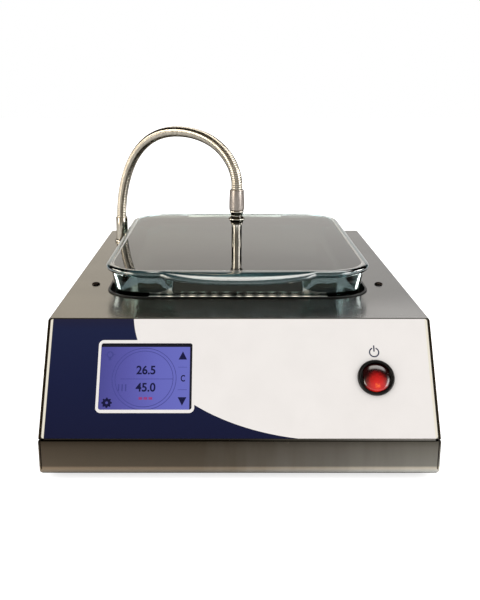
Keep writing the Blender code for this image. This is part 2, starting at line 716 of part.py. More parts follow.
def front_screw_y():
    """The front side screws sit a little behind the sloped edge."""
    return FRONT_Y + SIDE_SCREW_HEIGHT * SLOPE_DEPTH / SLOPE_RISE + SIDE_SCREW_BACK


def rear_screw_y():
    """The rear side screws go into the rear panel's flanges."""
    return PANEL_OUTER_Y - REAR_FLANGE + REAR_SCREW_FROM_BACK


def display_stack():
    """Depth behind the slope's outer face of the display board's back."""
    return SHEET + CLEARANCE + PANEL_THICKNESS + CLEARANCE + BOARD_THICKNESS


def stud_places():
    """Studs behind the slope, in the slope frame, outside the display panel."""
    x = DISPLAY_BOARD_WIDTH / 2 - STUD_INSET
    z = DISPLAY_BOARD_HEIGHT / 2 - STUD_INSET
    return [(DISPLAY_X + i * x, slope_z(DISPLAY_DOWN) + j * z) for i in (-1, 1) for j in (-1, 1)]


def front_label():
    """The printed film on the slope, cut out for the display and the switch."""
    width = BODY_WIDTH - 2 * LABEL_SIDE_MARGIN
    length = SLOPE_LENGTH - LABEL_TOP_MARGIN - LABEL_BOTTOM_MARGIN
    bm = rounded_box_mesh((width, length, LABEL_THICKNESS), LABEL_RADIUS)
    middle = LABEL_BOTTOM_MARGIN + length / 2
    upright = (math.pi / 2, 0.0, 0.0)
    label = place("front_label", bm, "printed_film", SLOPE, (0.0, -ADHESIVE - LABEL_THICKNESS / 2, middle), upright)
    window = rounded_box_mesh((WINDOW_WIDTH, WINDOW_HEIGHT, LABEL_THICKNESS + 2 * CUT_OVERRUN), WINDOW_RADIUS)
    combine(label, cutter("label_window", window, SLOPE, (DISPLAY_X, 0.0, slope_z(DISPLAY_DOWN)), upright))
    hole = cylinder_mesh(HOUSING_RADIUS + HOLE_CLEARANCE, LABEL_THICKNESS + 2 * CUT_OVERRUN, axis="Y", steps=ROUND_STEPS)
    return combine(label, cutter("label_switch_hole", hole, SLOPE, (SWITCH_X, 0.0, slope_z(SWITCH_DOWN))))


def rear_panel():
    """The back of the housing: a sheet with two side flanges, vent slots and the inlet's opening."""
    bottom = FLOOR_TOP + PAN_BEND_RADIUS
    height = PLATE_UNDER - CLEARANCE - bottom
    width = 2 * (SIDE_INNER_X - CLEARANCE)
    bm = box_mesh((width, REAR_FLANGE, height), (0.0, PANEL_OUTER_Y - REAR_FLANGE / 2, bottom + height / 2))
    delete_faces(bm, [(0, 0, 1), (0, 0, -1), (0, -1, 0)])
    corner = [e for e in bm.edges if len(e.link_faces) == 2]
    soften(bm, corner, BEND_RADIUS)
    panel = thicken(place("rear_panel", bm, "stainless_steel"), SHEET)
    cuts = bmesh.new()
    for i in range(VENT_COUNT):
        x = VENT_X + (i - (VENT_COUNT - 1) / 2) * VENT_PITCH
        size = (VENT_WIDTH, SHEET + 2 * CUT_OVERRUN, VENT_HEIGHT)
        box_mesh(size, (x, PANEL_OUTER_Y - SHEET / 2, FLOOR_TOP + VENT_ABOVE_FLOOR), cuts)
    body = (INLET_BODY_WIDTH + 2 * HOLE_CLEARANCE, SHEET + 2 * CUT_OVERRUN, INLET_BODY_HEIGHT + 2 * HOLE_CLEARANCE)
    box_mesh(body, (INLET_X, PANEL_OUTER_Y - SHEET / 2, inlet_z()), cuts)
    for side in (-1, 1):
        hole = (INLET_X + side * INLET_SCREW_SPREAD, PANEL_OUTER_Y - SHEET / 2, inlet_z())
        cylinder_mesh(SCREW_HOLE_RADIUS, SHEET + 2 * CUT_OVERRUN, hole, "Y", bm=cuts)
        flange = (side * (SIDE_INNER_X - CLEARANCE - SHEET / 2), rear_screw_y(), side_screw_z())
        cylinder_mesh(SCREW_HOLE_RADIUS, SHEET + 2 * CUT_OVERRUN, flange, "X", bm=cuts)
    return combine(panel, cutter("rear_panel_cuts", cuts))


def inlet_z():
    """Height of the mains inlet's middle."""
    return FLOOR_TOP + INLET_ABOVE_FLOOR


def cover_brackets():
    """Angle brackets on the floor of the pan; the front side screws end in them."""
    top = side_screw_z() + BRACKET_ABOVE_SCREW
    bottom = FLOOR_TOP + CLEARANCE
    height = top - bottom
    outer = SIDE_INNER_X - CLEARANCE
    for side, word in ((-1, "left"), (1, "right")):
        bm = box_mesh(
            (BRACKET_FOOT, BRACKET_WIDTH, height), (side * (outer - BRACKET_FOOT / 2), front_screw_y(), bottom + height / 2)
        )
        delete_faces(bm, [(0, 0, 1), (0, 1, 0), (0, -1, 0), (-side, 0, 0)])
        soften(bm, [e for e in bm.edges if len(e.link_faces) == 2], BEND_RADIUS + SHEET)
        bracket = thicken(place("cover_bracket_" + word, bm, "stainless_steel"), SHEET)
        hole = cylinder_mesh(
            SCREW_HOLE_RADIUS, SHEET + 2 * CUT_OVERRUN, (side * (outer - SHEET / 2), front_screw_y(), side_screw_z()), "X"
        )
        combine(bracket, cutter("bracket_hole_" + word, hole))


def cutout_trim():
    """Black edge trim that grips the sheet all round the cut-out."""
    half_x = CUTOUT_WIDTH / 2
    half_y = CUTOUT_LENGTH / 2
    above = PLATE_TOP + CLEARANCE
    below = PLATE_UNDER - CLEARANCE
    section = [
        (TRIM_OVER, above),
        (TRIM_OVER, above + TRIM_RISE),
        (-TRIM_INSIDE, above + TRIM_RISE),
        (-TRIM_INSIDE, below - TRIM_RISE),
        (TRIM_OVER, below - TRIM_RISE),
        (TRIM_OVER, below),
        (-CLEARANCE, below),
        (-CLEARANCE, above),
    ]
    rings = [(half_x + out, half_y + out, CUTOUT_RADIUS + out, z) for out, z in section]
    return place("cutout_trim", loft_mesh(rings, closed=True), "black_silicone", location=(0.0, CUTOUT_Y, 0.0))


# Well, heater and lights
def well_tray():
    """The deep tray under the cut-out, hung by its flange from the top plate."""
    out_x = TRAY_INNER_X + TRAY_SHEET
    out_y = TRAY_INNER_Y + TRAY_SHEET
    flange_x = TRAY_INNER_X + TRAY_SIDE_FLANGE
    flange_y = TRAY_INNER_Y + TRAY_END_FLANGE
    floor = TRAY_FLOOR_TOP
    rings = [
        (TRAY_INNER_X, TRAY_INNER_Y, TRAY_CORNER, floor),
        (TRAY_INNER_X, TRAY_INNER_Y, TRAY_CORNER, TRAY_TOP),
        (flange_x, flange_y, TRAY_CORNER / 2, TRAY_TOP),
        (flange_x, flange_y, TRAY_CORNER / 2, TRAY_TOP - TRAY_SHEET),
        (out_x, out_y, TRAY_CORNER + TRAY_SHEET, TRAY_TOP - TRAY_SHEET),
        (out_x, out_y, TRAY_CORNER + TRAY_SHEET, floor - TRAY_SHEET),
    ]
    tray = place("well_tray", loft_mesh(rings), "stainless_steel", location=(0.0, CUTOUT_Y, 0.0))
    holes = bmesh.new()
    through = TRAY_SHEET + 2 * CUT_OVERRUN
    middle = TRAY_TOP - TRAY_SHEET / 2
    cylinder_mesh(BUSH_RADIUS + HOLE_CLEARANCE, through, (GOOSENECK_X, GOOSENECK_Y, middle), steps=ROUND_STEPS, bm=holes)
    for side in (-1, 1):
        at = (side * TRAY_SCREW_X, BEND_Y + TRAY_SCREW_FROM_BEND, middle)
        cylinder_mesh(SCREW_HOLE_RADIUS, through, at, bm=holes)
    disc = (0.0, CUTOUT_Y + CUTOUT_DISC_FROM_MIDDLE, floor - TRAY_SHEET / 2)
    cylinder_mesh(CUTOUT_DISC_RADIUS + HOLE_CLEARANCE, through, disc, steps=ROUND_STEPS, bm=holes)
    heater_hole = (HEATER_LEAD_X, CUTOUT_Y + HEATER_LEAD_FROM_MIDDLE, floor - TRAY_SHEET / 2)
    cylinder_mesh(LEAD_HOLE_RADIUS, through, heater_hole, bm=holes)
    light_hole = (LIGHT_LEAD_X, CUTOUT_Y - TRAY_INNER_Y - TRAY_SHEET / 2, light_lead_z())
    cylinder_mesh(LEAD_HOLE_RADIUS, through, light_hole, "Y", bm=holes)
    return combine(tray, cutter("tray_holes", holes))


def heater_stack():
    """Heater plate, heater mat and insulation, one under the other on the tray's floor."""
    half_x = TRAY_INNER_X - HEATER_MARGIN
    half_y = TRAY_INNER_Y - HEATER_MARGIN
    layers = (
        ("heater_plate", "aluminium", 0.0, HEATER_TOP, HEATER_THICKNESS),
        ("heater_pad", "heater_silicone", PAD_INSET, PAD_TOP, PAD_THICKNESS),
        ("insulation_pad", "ceramic_fibre", 0.0, INSULATION_TOP, INSULATION_THICKNESS),
    )
    for name, finish, inset, top, thickness in layers:
        size = (2 * (half_x - inset), 2 * (half_y - inset), thickness)
        bm = rounded_box_mesh(size, HEATER_RADIUS - inset, (0.0, CUTOUT_Y, top - thickness / 2))
        layer = place(name, bm, finish)
        if name == "heater_plate":
            continue
        at = (0.0, CUTOUT_Y + CUTOUT_DISC_FROM_MIDDLE, top - thickness / 2)
        clear = CUTOUT_DISC_RADIUS + CUTOUT_DISC_FLANGE + HOLE_CLEARANCE
        hole = cylinder_mesh(clear, thickness + CUT_OVERRUN, at, steps=ROUND_STEPS)
        if name == "insulation_pad":
            lead_at = (HEATER_LEAD_X, CUTOUT_Y + HEATER_LEAD_FROM_MIDDLE, top - thickness / 2)
            cylinder_mesh(LEAD_HOLE_RADIUS, thickness + CUT_OVERRUN, lead_at, bm=hole)
        combine(layer, cutter(name + "_hole", hole))


def thermal_cutout():
    """Snap-disc thermostat against the underside of the heater plate, with two blade terminals."""
    top = HEATER_TOP - HEATER_THICKNESS - CLEARANCE
    wide = CUTOUT_DISC_RADIUS + CUTOUT_DISC_FLANGE
    step = CUTOUT_DISC_FLANGE
    profile = [
        (0.0, 0.0),
        (wide, 0.0),
        (wide, -step),
        (CUTOUT_DISC_RADIUS, -step),
        (CUTOUT_DISC_RADIUS, -CUTOUT_DISC_HEIGHT),
        (0.0, -CUTOUT_DISC_HEIGHT),
    ]
    at = (0.0, CUTOUT_Y + CUTOUT_DISC_FROM_MIDDLE, top)
    disc = turned("thermal_cutout", profile, "black_nylon", location=at)
    blades = bmesh.new()
    for side in (-1, 1):
        size = (TERMINAL_THICKNESS, DISC_TERMINAL_WIDTH, TERMINAL_LENGTH)
        x = side * CUTOUT_DISC_RADIUS / 2
        z = top - CUTOUT_DISC_HEIGHT - TERMINAL_LENGTH / 2 + CUT_OVERRUN
        box_mesh(size, (x, at[1], z), blades)
    return combine(disc, cutter("cutout_blades", blades), "UNION")


def strip_top():
    """The light strip stands a little above the top plate, inside the trim."""
    return PLATE_TOP + STRIP_PROUD


def strip_back_y():
    """The strip is bonded to the trim's inner face."""
    return CUTOUT_Y - CUTOUT_LENGTH / 2 + TRIM_INSIDE + ADHESIVE


def light_lead_z():
    """The strip's lead leaves it below the trim."""
    return strip_top() - STRIP_HEIGHT + LIGHT_LEAD_ABOVE_STRIP_END


def led_strip():
    """A narrow board with a row of light-emitting diodes, inside the front edge of the cut-out, facing the dish."""
    length = (LED_COUNT - 1) * LED_PITCH + LED_WIDTH + 2 * STRIP_END
    board_y = strip_back_y() + STRIP_THICKNESS / 2
    bm = box_mesh((length, STRIP_THICKNESS, STRIP_HEIGHT), (0.0, board_y, strip_top() - STRIP_HEIGHT / 2))
    strip = place("led_strip", bm, "led_board", smooth=False)
    diodes = bmesh.new()
    for i in range(LED_COUNT):
        x = (i - (LED_COUNT - 1) / 2) * LED_PITCH
        depth = LED_DEPTH + STRIP_THICKNESS / 2
        box_mesh((LED_WIDTH, depth, LED_HEIGHT), (x, board_y + depth / 2, strip_top() - LED_FROM_TOP - LED_HEIGHT / 2), diodes)
    return combine(strip, cutter("strip_diodes", diodes), "UNION")


# Display and switch
def display():
    """Touch display behind the window, its board on four studs, and the nuts."""
    face_in = SHEET + CLEARANCE
    upright = (math.pi / 2, 0.0, 0.0)
    bm = rounded_box_mesh((PANEL_WIDTH, PANEL_HEIGHT, PANEL_THICKNESS), PANEL_RADIUS, steps=ARC_STEPS)
    at = (DISPLAY_X, face_in + PANEL_THICKNESS / 2, slope_z(DISPLAY_DOWN))
    place("display_panel", bm, "display_glass", SLOPE, at, upright)
    board_in = face_in + PANEL_THICKNESS + CLEARANCE
    bm = rounded_box_mesh((DISPLAY_BOARD_WIDTH, DISPLAY_BOARD_HEIGHT, BOARD_THICKNESS), BOARD_RADIUS, steps=ARC_STEPS)
    at = (DISPLAY_X, board_in + BOARD_THICKNESS / 2, slope_z(DISPLAY_DOWN))
    board = place("display_board", bm, "circuit_board", SLOPE, at, upright)
    holes = bmesh.new()
    for x, z in stud_places():
        cylinder_mesh(STUD_RADIUS + HOLE_CLEARANCE, BOARD_THICKNESS + CUT_OVERRUN, (x, at[1], z), "Y", bm=holes)
    combine(board, cutter("display_board_holes", holes, SLOPE))
    bore = STUD_RADIUS + HOLE_CLEARANCE
    nut_in = display_stack() + CLEARANCE + NUT_THICKNESS / 2
    for number, (x, z) in enumerate(stud_places(), start=1):
        hexagon = cylinder_mesh(NUT_ACROSS_FLATS / 2 / math.cos(math.pi / 6), NUT_THICKNESS, axis="Y", steps=6)
        nut = place("display_nut_%d" % number, hexagon, "bright_steel", SLOPE, (x, nut_in, z), smooth=False)
        hole = cylinder_mesh(bore, NUT_THICKNESS + CUT_OVERRUN, axis="Y")
        combine(nut, cutter("display_nut_hole_%d" % number, hole, SLOPE, (x, nut_in, z)))


def switch_housing():
    """The round snap-in body: bezel, barrel, snap tabs and terminals, hollow for the rocker."""
    face = -LABEL_FACE - CLEARANCE
    outer = face - BEZEL_HEIGHT
    seat_radius = HOUSING_RADIUS
    back = HOUSING_DEPTH
    profile = [(0.0, -outer)]
    profile += [(BEZEL_RADIUS - BEZEL_EDGE, -outer)]
    profile += arc(BEZEL_RADIUS - BEZEL_EDGE, -outer - BEZEL_EDGE, BEZEL_EDGE, 60, 0, BEND_STEPS)
    profile += [(BEZEL_RADIUS, -face), (seat_radius, -face), (seat_radius, -back), (0.0, -back)]
    middle = (SWITCH_X, 0.0, slope_z(SWITCH_DOWN))
    upright = (math.pi / 2, 0.0, 0.0)
    housing = turned("switch_housing", profile, "black_nylon", SLOPE, middle, upright, ROUND_STEPS)
    reach = ROCKER_RADIUS + ROCKER_GAP
    axis_y = rocker_axis_y()
    well_bottom = back - HOUSING_FLOOR
    well = rounded_well_mesh(reach, ROCKER_HALF_WIDTH + ROCKER_GAP, outer - CUT_OVERRUN, well_bottom)
    combine(housing, cutter("switch_well", well, SLOPE, middle))
    pocket = ROCKER_HALF_WIDTH + ROCKER_GAP + TRUNNION_LENGTH
    seats = cylinder_mesh(TRUNNION_RADIUS + HOLE_CLEARANCE, 2 * pocket, (0.0, axis_y, 0.0), "X", steps=SMALL_STEPS)
    combine(housing, cutter("switch_trunnion_seats", seats, SLOPE, middle))
    extras = bmesh.new()
    behind_sheet = SHEET + CLEARANCE
    for side in (-1, 1):
        size = (2 * SNAP_PROUD, SNAP_HEIGHT, SNAP_WIDTH)
        box_mesh(size, (side * HOUSING_RADIUS, behind_sheet + SNAP_HEIGHT / 2, 0.0), extras)
    for i in (-1, 0, 1):
        size = (TERMINAL_WIDTH, TERMINAL_LENGTH + HOUSING_FLOOR / 2, TERMINAL_THICKNESS)
        y = back + TERMINAL_LENGTH / 2 - HOUSING_FLOOR / 4
        box_mesh(size, (0.0, y, i * TERMINAL_PITCH), extras)
    return combine(housing, cutter("switch_tabs", extras, SLOPE, middle), "UNION")


def rocker_axis_y():
    """The rocker turns on a line just below the bezel's face, in the slope frame."""
    return -LABEL_FACE - CLEARANCE - BEZEL_HEIGHT + ROCKER_AXIS_DEPTH


def rounded_well_mesh(radius, half_width, start, end):
    """A round hole with two flat sides, along Y."""
    bm = cylinder_mesh(radius, end - start, (0.0, (start + end) / 2, 0.0), "Y", steps=ROUND_STEPS)
    for side in (-1, 1):
        flatten_side(bm, half_width, side)
    return bm


def flatten_side(bm, half_width, side):
    """Cuts a shape flat at plus or minus a half width in X, and closes it."""
    cut = bmesh.ops.bisect_plane(
        bm,
        geom=bm.verts[:] + bm.edges[:] + bm.faces[:],
        plane_co=(side * half_width, 0.0, 0.0),
        plane_no=(side, 0.0, 0.0),
        clear_outer=True,
    )
    rim = [g for g in cut["geom_cut"] if isinstance(g, bmesh.types.BMEdge)]
    bmesh.ops.holes_fill(bm, edges=rim, sides=0)


def switch_rocker():
    """The domed rocker, at rest with its upper end pressed in: a turned dome cut flat at its sides, on two trunnions."""
    bm = bmesh.new()
    dome = [(ROCKER_RADIUS * math.sin(a), ROCKER_DOME * math.cos(a)) for a in quarter_steps(ARC_STEPS + 1)]
    skirt_radius = math.sqrt(ROCKER_RADIUS**2 - ROCKER_SKIRT**2)
    profile = dome + [(ROCKER_RADIUS, 0.0), (skirt_radius, -ROCKER_SKIRT), (0.0, -ROCKER_SKIRT)]
    points = [bm.verts.new((radius, 0.0, height)) for radius, height in profile]
    edges = [bm.edges.new(pair) for pair in zip(points, points[1:])]
    bmesh.ops.spin(
        bm, geom=points + edges, cent=(0, 0, 0), axis=(0, 0, 1), angle=math.tau, steps=ROUND_STEPS, use_merge=True
    )
    bmesh.ops.remove_doubles(bm, verts=bm.verts, dist=WELD)
    for side in (-1, 1):
        flatten_side(bm, ROCKER_HALF_WIDTH, side)
    bmesh.ops.recalc_face_normals(bm, faces=bm.faces)
    rocker = place("switch_rocker", bm, "red_lens", ROCKER_AXIS, rotation=(math.pi / 2 - ROCKER_TILT, 0.0, 0.0))
    pins = cylinder_mesh(TRUNNION_RADIUS, 2 * (ROCKER_HALF_WIDTH + TRUNNION_LENGTH), axis="X")
    return combine(rocker, cutter("rocker_trunnions", pins, ROCKER_AXIS), "UNION")


# Glass dish
def wall_inset(height):
    """How far the outer wall stands in from the rim's edge at a height above the dish's foot."""
    return RIM_BEAD + DISH_DRAFT * (DISH_HEIGHT - height) / DISH_HEIGHT


def dish_profile():
    """Section of the dish as (inset, height): under the floor, up the outer wall, over the bead and down inside."""
    section = []
    foot = wall_inset(HEEL_RADIUS) + HEEL_RADIUS
    for i in range(ARC_STEPS + 1):
        angle = math.pi / 2 * i / ARC_STEPS
        section.append((foot - HEEL_RADIUS * math.sin(angle), HEEL_RADIUS * (1 - math.cos(angle))))
    section.append((wall_inset(DISH_HEIGHT - RIM_BEAD_HEIGHT), DISH_HEIGHT - RIM_BEAD_HEIGHT))
    for degrees in (-60, -25, 10, 45, 90):
        angle = math.radians(degrees)
        height = DISH_HEIGHT - RIM_BEAD_HEIGHT / 2 * (1 - math.sin(angle))
        section.append((RIM_BEAD * (1 - math.cos(angle)), height))
    inner_top = wall_inset(DISH_HEIGHT) + GLASS
    for degrees in (90, 45, 0):
        angle = math.radians(degrees)
        height = DISH_HEIGHT - RIM_EASE * (1 - math.sin(angle))
        section.append((inner_top - RIM_EASE * (1 - math.cos(angle)), height))
    low = GLASS_FLOOR + INNER_HEEL_RADIUS
    heel = wall_inset(low) + GLASS + INNER_HEEL_RADIUS
    for i in range(ARC_STEPS + 1):
        angle = math.pi / 2 * i / ARC_STEPS
        section.append((heel - INNER_HEEL_RADIUS * math.cos(angle), low - INNER_HEEL_RADIUS * math.sin(angle)))
    return section


def glass_dish():
    """The dish: a drafted rounded-rectangle bowl with a rolled rim, and a handle tab at each end."""
    rings = []
    for inset, height in dish_profile():
        rings.append((DISH_WIDTH / 2 - inset, DISH_LENGTH / 2 - inset, DISH_CORNER - inset, height))
    dish = place("glass_dish", loft_mesh(rings), "tinted_glass", DISH_FRAME)
    for side, word in ((-1, "front"), (1, "rear")):
        bm = cylinder_mesh(1.0, TAB_THICKNESS, steps=2 * ROUND_STEPS)
        bmesh.ops.scale(bm, vec=(TAB_WIDTH / 2, TAB_DEPTH + TAB_ROOT, 1.0), verts=bm.verts)
        rim = [e for e in bm.edges if abs(e.verts[0].co.z - e.verts[1].co.z) < TAB_THICKNESS / 2]
        soften(bm, rim, TAB_ROUNDING, 2)
        cut = bmesh.ops.bisect_plane(
            bm, geom=bm.verts[:] + bm.edges[:] + bm.faces[:], plane_co=(0, 0, 0), plane_no=(0, -side, 0), clear_outer=True
        )
        bmesh.ops.holes_fill(bm, edges=[g for g in cut["geom_cut"] if isinstance(g, bmesh.types.BMEdge)], sides=0)
        at = (0.0, side * (DISH_LENGTH / 2 - TAB_ROOT), DISH_HEIGHT - RIM_BEAD_HEIGHT / 2)
        tab = cutter("dish_tab_" + word, bm, DISH_FRAME, at, (-side * TAB_TILT, 0.0, 0.0))
        combine(dish, tab, "UNION")
    return dish


# Gooseneck and probe
def bezier(start, pull_start, pull_end, end, count):
    """Points along one cubic stretch, without its first point."""
    points = []
    for i in range(1, count + 1):
        t = i / count
        s = 1 - t
        points.append(start * s**3 + pull_start * 3 * s * s * t + pull_end * 3 * s * t * t + end * t**3)
    return points


def arch_route():
    """Centre line of the gooseneck in its own frame: along X to the probe, Z above the plate, straight at both ends."""
    up = Vector((0.0, 0.0, 1.0))
    along = Vector((1.0, 0.0, 0.0))
    root = up * TUBE_START
    leg = up * ARCH_LEG
    crown = along * ARCH_CROWN + up * ARCH_TOP
    drop = along * ARCH_SPAN + up * ARCH_DROP
    foot = along * ARCH_SPAN + up * TUBE_END
    route = [root, leg]
    route += bezier(leg, leg + up * ARCH_LEG_PULL, crown - along * ARCH_CROWN_PULL_BACK, crown, TUBE_RIBS)
    route += bezier(crown, crown + along * ARCH_CROWN_PULL_FRONT, drop + up * ARCH_DROP_PULL, drop, TUBE_RIBS)
    return route + [foot]


def even_points(route, count):
    """Points at equal steps along a route, ends kept."""
    lengths = [(b - a).length for a, b in zip(route, route[1:])]
    total = sum(lengths)
    points = [route[0].copy()]
    index = 0
    passed = 0.0
    for step in range(1, count - 1):
        target = total * step / (count - 1)
        while passed + lengths[index] < target:
            passed += lengths[index]
            index += 1
        points.append(route[index].lerp(route[index + 1], (target - passed) / lengths[index]))
    return points + [route[-1].copy()]


def tube_mesh(points, radii, fineness=2):
    """A round tube along points as a closed mesh: a poly curve with a bevel, its caps welded."""
    curve = bpy.data.curves.new("tube", "CURVE")
    curve.dimensions = "3D"
    curve.bevel_depth = 1.0
    curve.bevel_resolution = fineness
    curve.use_fill_caps = True
    spline = curve.splines.new("POLY")
    spline.points.add(len(points) - 1)
    for target, point, radius in zip(spline.points, points, radii):
        target.co = (*point, 1.0)
        target.radius = radius
    carrier = bpy.data.objects.new("tube", curve)
    PARTS.objects.link(carrier)
    bpy.context.view_layer.update()
    evaluated = carrier.evaluated_get(bpy.context.evaluated_depsgraph_get())
    bm = bmesh.new()
    mesh = bpy.data.meshes.new_from_object(evaluated)
    bm.from_mesh(mesh)
    bpy.data.meshes.remove(mesh)
    bpy.data.objects.remove(carrier)
    bpy.data.curves.remove(curve)
    bmesh.ops.remove_doubles(bm, verts=bm.verts, dist=WELD)
    bmesh.ops.recalc_face_normals(bm, faces=bm.faces)
    return bm


def gooseneck_tube():
    """The flexible tube: ribs all along its bend, plain round ends, and its bore cut through."""
    route = arch_route()
    count = 2 * TUBE_RIBS + 1
    points = even_points(route, count)
    radii = [TUBE_RADIUS if i % 2 else TUBE_RADIUS - TUBE_RIB_DEPTH for i in range(count)]
    radii[0] = radii[-1] = TUBE_RADIUS - TUBE_RIB_DEPTH
    tube = place("gooseneck_tube", tube_mesh(points, radii), "nickel_tube", ARCH_FRAME, smooth=False)
    end = Vector((0.0, 0.0, CUT_OVERRUN))
    inner = even_points(route, BORE_POINTS)
    inner = [inner[0] - end] + inner[1:-1] + [inner[-1] - end]
    bore = cutter("gooseneck_bore", tube_mesh(inner, [TUBE_BORE_RADIUS] * len(inner)), ARCH_FRAME)
    gap = min(b.length for b in (points[i + 1] - points[i] for i in range(count - 1)))
    print("gooseneck: %d ribs, least step %.2f mm" % (TUBE_RIBS, gap * 1000))
    return combine(tube, bore)


def gooseneck_base():
    """Threaded bush through the plate, locknut below, and the ferrule that turns in the bush and holds the tube."""
    bush_low = CLEARANCE - BUSH_LENGTH
    flange_top = CLEARANCE + BUSH_FLANGE_HEIGHT
    profile = [
        (BUSH_BORE, flange_top),
        (BUSH_FLANGE_RADIUS - BEND_RADIUS, flange_top),
        (BUSH_FLANGE_RADIUS, flange_top - BEND_RADIUS),
        (BUSH_FLANGE_RADIUS, CLEARANCE),
        (BUSH_RADIUS, CLEARANCE),
        (BUSH_RADIUS, bush_low),
        (BUSH_BORE, bush_low),
    ]
    turned("gooseneck_bush", profile, "bright_steel", SWIVEL_FRAME, steps=ROUND_STEPS)
    nut_top = TRAY_TOP - TRAY_SHEET - CLEARANCE
    hexagon = cylinder_mesh(LOCKNUT_ACROSS_FLATS / 2 / math.cos(math.pi / 6), LOCKNUT_HEIGHT, steps=6)
    middle = (GOOSENECK_X, GOOSENECK_Y, nut_top - LOCKNUT_HEIGHT / 2)
    nut = place("gooseneck_nut", hexagon, "bright_steel", location=middle, smooth=False)
    hole = cylinder_mesh(BUSH_RADIUS + HOLE_CLEARANCE, LOCKNUT_HEIGHT + CUT_OVERRUN, steps=ROUND_STEPS)
    combine(nut, cutter("gooseneck_nut_hole", hole, location=middle))
    shoulder = flange_top + CLEARANCE
    spigot = BUSH_BORE - HOLE_CLEARANCE
    socket = TUBE_RADIUS + SOCKET_CLEARANCE
    socket_floor = TUBE_START - SOCKET_CLEARANCE
    profile = [
        (socket, FERRULE_TOP),
        (FERRULE_RADIUS - FERRULE_EDGE, FERRULE_TOP),
        (FERRULE_RADIUS, FERRULE_TOP - FERRULE_EDGE),
        (FERRULE_RADIUS, shoulder),
        (spigot, shoulder),
        (spigot, shoulder - SPIGOT_LENGTH),
        (LEAD_BORE_RADIUS, shoulder - SPIGOT_LENGTH),
        (LEAD_BORE_RADIUS, socket_floor),
        (socket, socket_floor),
    ]
    turned("gooseneck_ferrule", profile, "bright_steel", SWIVEL_FRAME, steps=ROUND_STEPS)


def probe():
    """Sleeve over the end of the tube, waisted collar below it, and the steel rod in the water."""
    along = (ARCH_SPAN, 0.0, 0.0)
    socket = TUBE_RADIUS + SOCKET_CLEARANCE
    socket_floor = TUBE_END - SOCKET_CLEARANCE
    profile = [
        (socket, SLEEVE_TOP),
        (SLEEVE_RADIUS, SLEEVE_TOP),
        (SLEEVE_FOOT_RADIUS, (SLEEVE_TOP + SLEEVE_BOTTOM) / 2),
        (SLEEVE_FOOT_RADIUS, SLEEVE_BOTTOM),
        (LEAD_BORE_RADIUS, SLEEVE_BOTTOM),
        (LEAD_BORE_RADIUS, socket_floor),
        (socket, socket_floor),
    ]
    turned("probe_sleeve", profile, "satin_chrome", ARCH_FRAME, along, steps=ROUND_STEPS)
    top = SLEEVE_BOTTOM - CLEARANCE
    length = top - COLLAR_BOTTOM
    profile = [
        (LEAD_BORE_RADIUS, top),
        (SLEEVE_RADIUS - COLLAR_EDGE, top),
        (SLEEVE_RADIUS, top - COLLAR_EDGE),
        (COLLAR_WAIST, top - WAIST_SHARE * length),
        (COLLAR_RADIUS, top - BULGE_START_SHARE * length),
        (COLLAR_RADIUS, top - BULGE_END_SHARE * length),
        (ROD_RADIUS + COLLAR_EDGE, COLLAR_BOTTOM),
        (LEAD_BORE_RADIUS, COLLAR_BOTTOM),
    ]
    turned("probe_collar", profile, "bright_steel", ARCH_FRAME, along, steps=ROUND_STEPS)
    rod_top = COLLAR_BOTTOM - CLEARANCE
    profile = [(0.0, rod_top), (ROD_RADIUS, rod_top)]
    profile += arc(0.0, ROD_TIP + ROD_RADIUS, ROD_RADIUS, 0, -90)
    profile[-1] = (0.0, ROD_TIP)
    turned("probe_rod", profile, "bright_steel", ARCH_FRAME, along, steps=ROUND_STEPS)


# Screws, feet, inlet and electronics
def screws():
    """Side screws, tray screws, foot screws."""
    profile = screw_profile(SCREW_HEAD_RADIUS, SCREW_HEAD_HEIGHT, SCREW_RADIUS, SCREW_LENGTH)
    x = BODY_WIDTH / 2 + CLEARANCE
    rows = (("front", front_screw_y()), ("rear", rear_screw_y()))
    for side, word in ((-1, "left"), (1, "right")):
        for row, y in rows:
            turn = (0.0, side * math.pi / 2, 0.0)
            turned("side_screw_%s_%s" % (row, word), profile, "bright_steel", None, (side * x, y, side_screw_z()), turn)
        black = screw_profile(TRAY_SCREW_HEAD_RADIUS, TRAY_SCREW_HEAD_HEIGHT, SCREW_RADIUS, SCREW_LENGTH)
        at = (side * TRAY_SCREW_X, BEND_Y + TRAY_SCREW_FROM_BEND, PLATE_TOP + CLEARANCE)
        turned("tray_screw_" + word, black, "black_oxide", None, at)
    up = (math.pi, 0.0, 0.0)
    long_profile = screw_profile(SCREW_HEAD_RADIUS, SCREW_HEAD_HEIGHT, SCREW_RADIUS, FOOT_SCREW_LENGTH)
    for word, (x, y) in zip(corner_words(), foot_places()):
        head_z = FOOT_RECESS_DEPTH - CLEARANCE
        turned("foot_screw_" + word, long_profile, "bright_steel", None, (x, y, head_z), up)


def corner_words():
    """Names of the four corners, in the order of the feet."""
    return ("front_left", "front_right", "rear_left", "rear_right")


def feet():
    """Tapered rubber feet with a recess for the screw's head."""
    top = FOOT_HEIGHT - CLEARANCE
    bore = SCREW_RADIUS + HOLE_CLEARANCE
    profile = [
        (bore, top),
        (FOOT_TOP_RADIUS, top),
        (FOOT_BOTTOM_RADIUS, FOOT_EDGE),
        (FOOT_BOTTOM_RADIUS - FOOT_EDGE, 0.0),
        (FOOT_RECESS_RADIUS, 0.0),
        (FOOT_RECESS_RADIUS, FOOT_RECESS_DEPTH),
        (bore, FOOT_RECESS_DEPTH),
    ]
    for word, (x, y) in zip(corner_words(), foot_places()):
        turned("foot_" + word, profile, "rubber", None, (x, y, 0.0), steps=ROUND_STEPS)


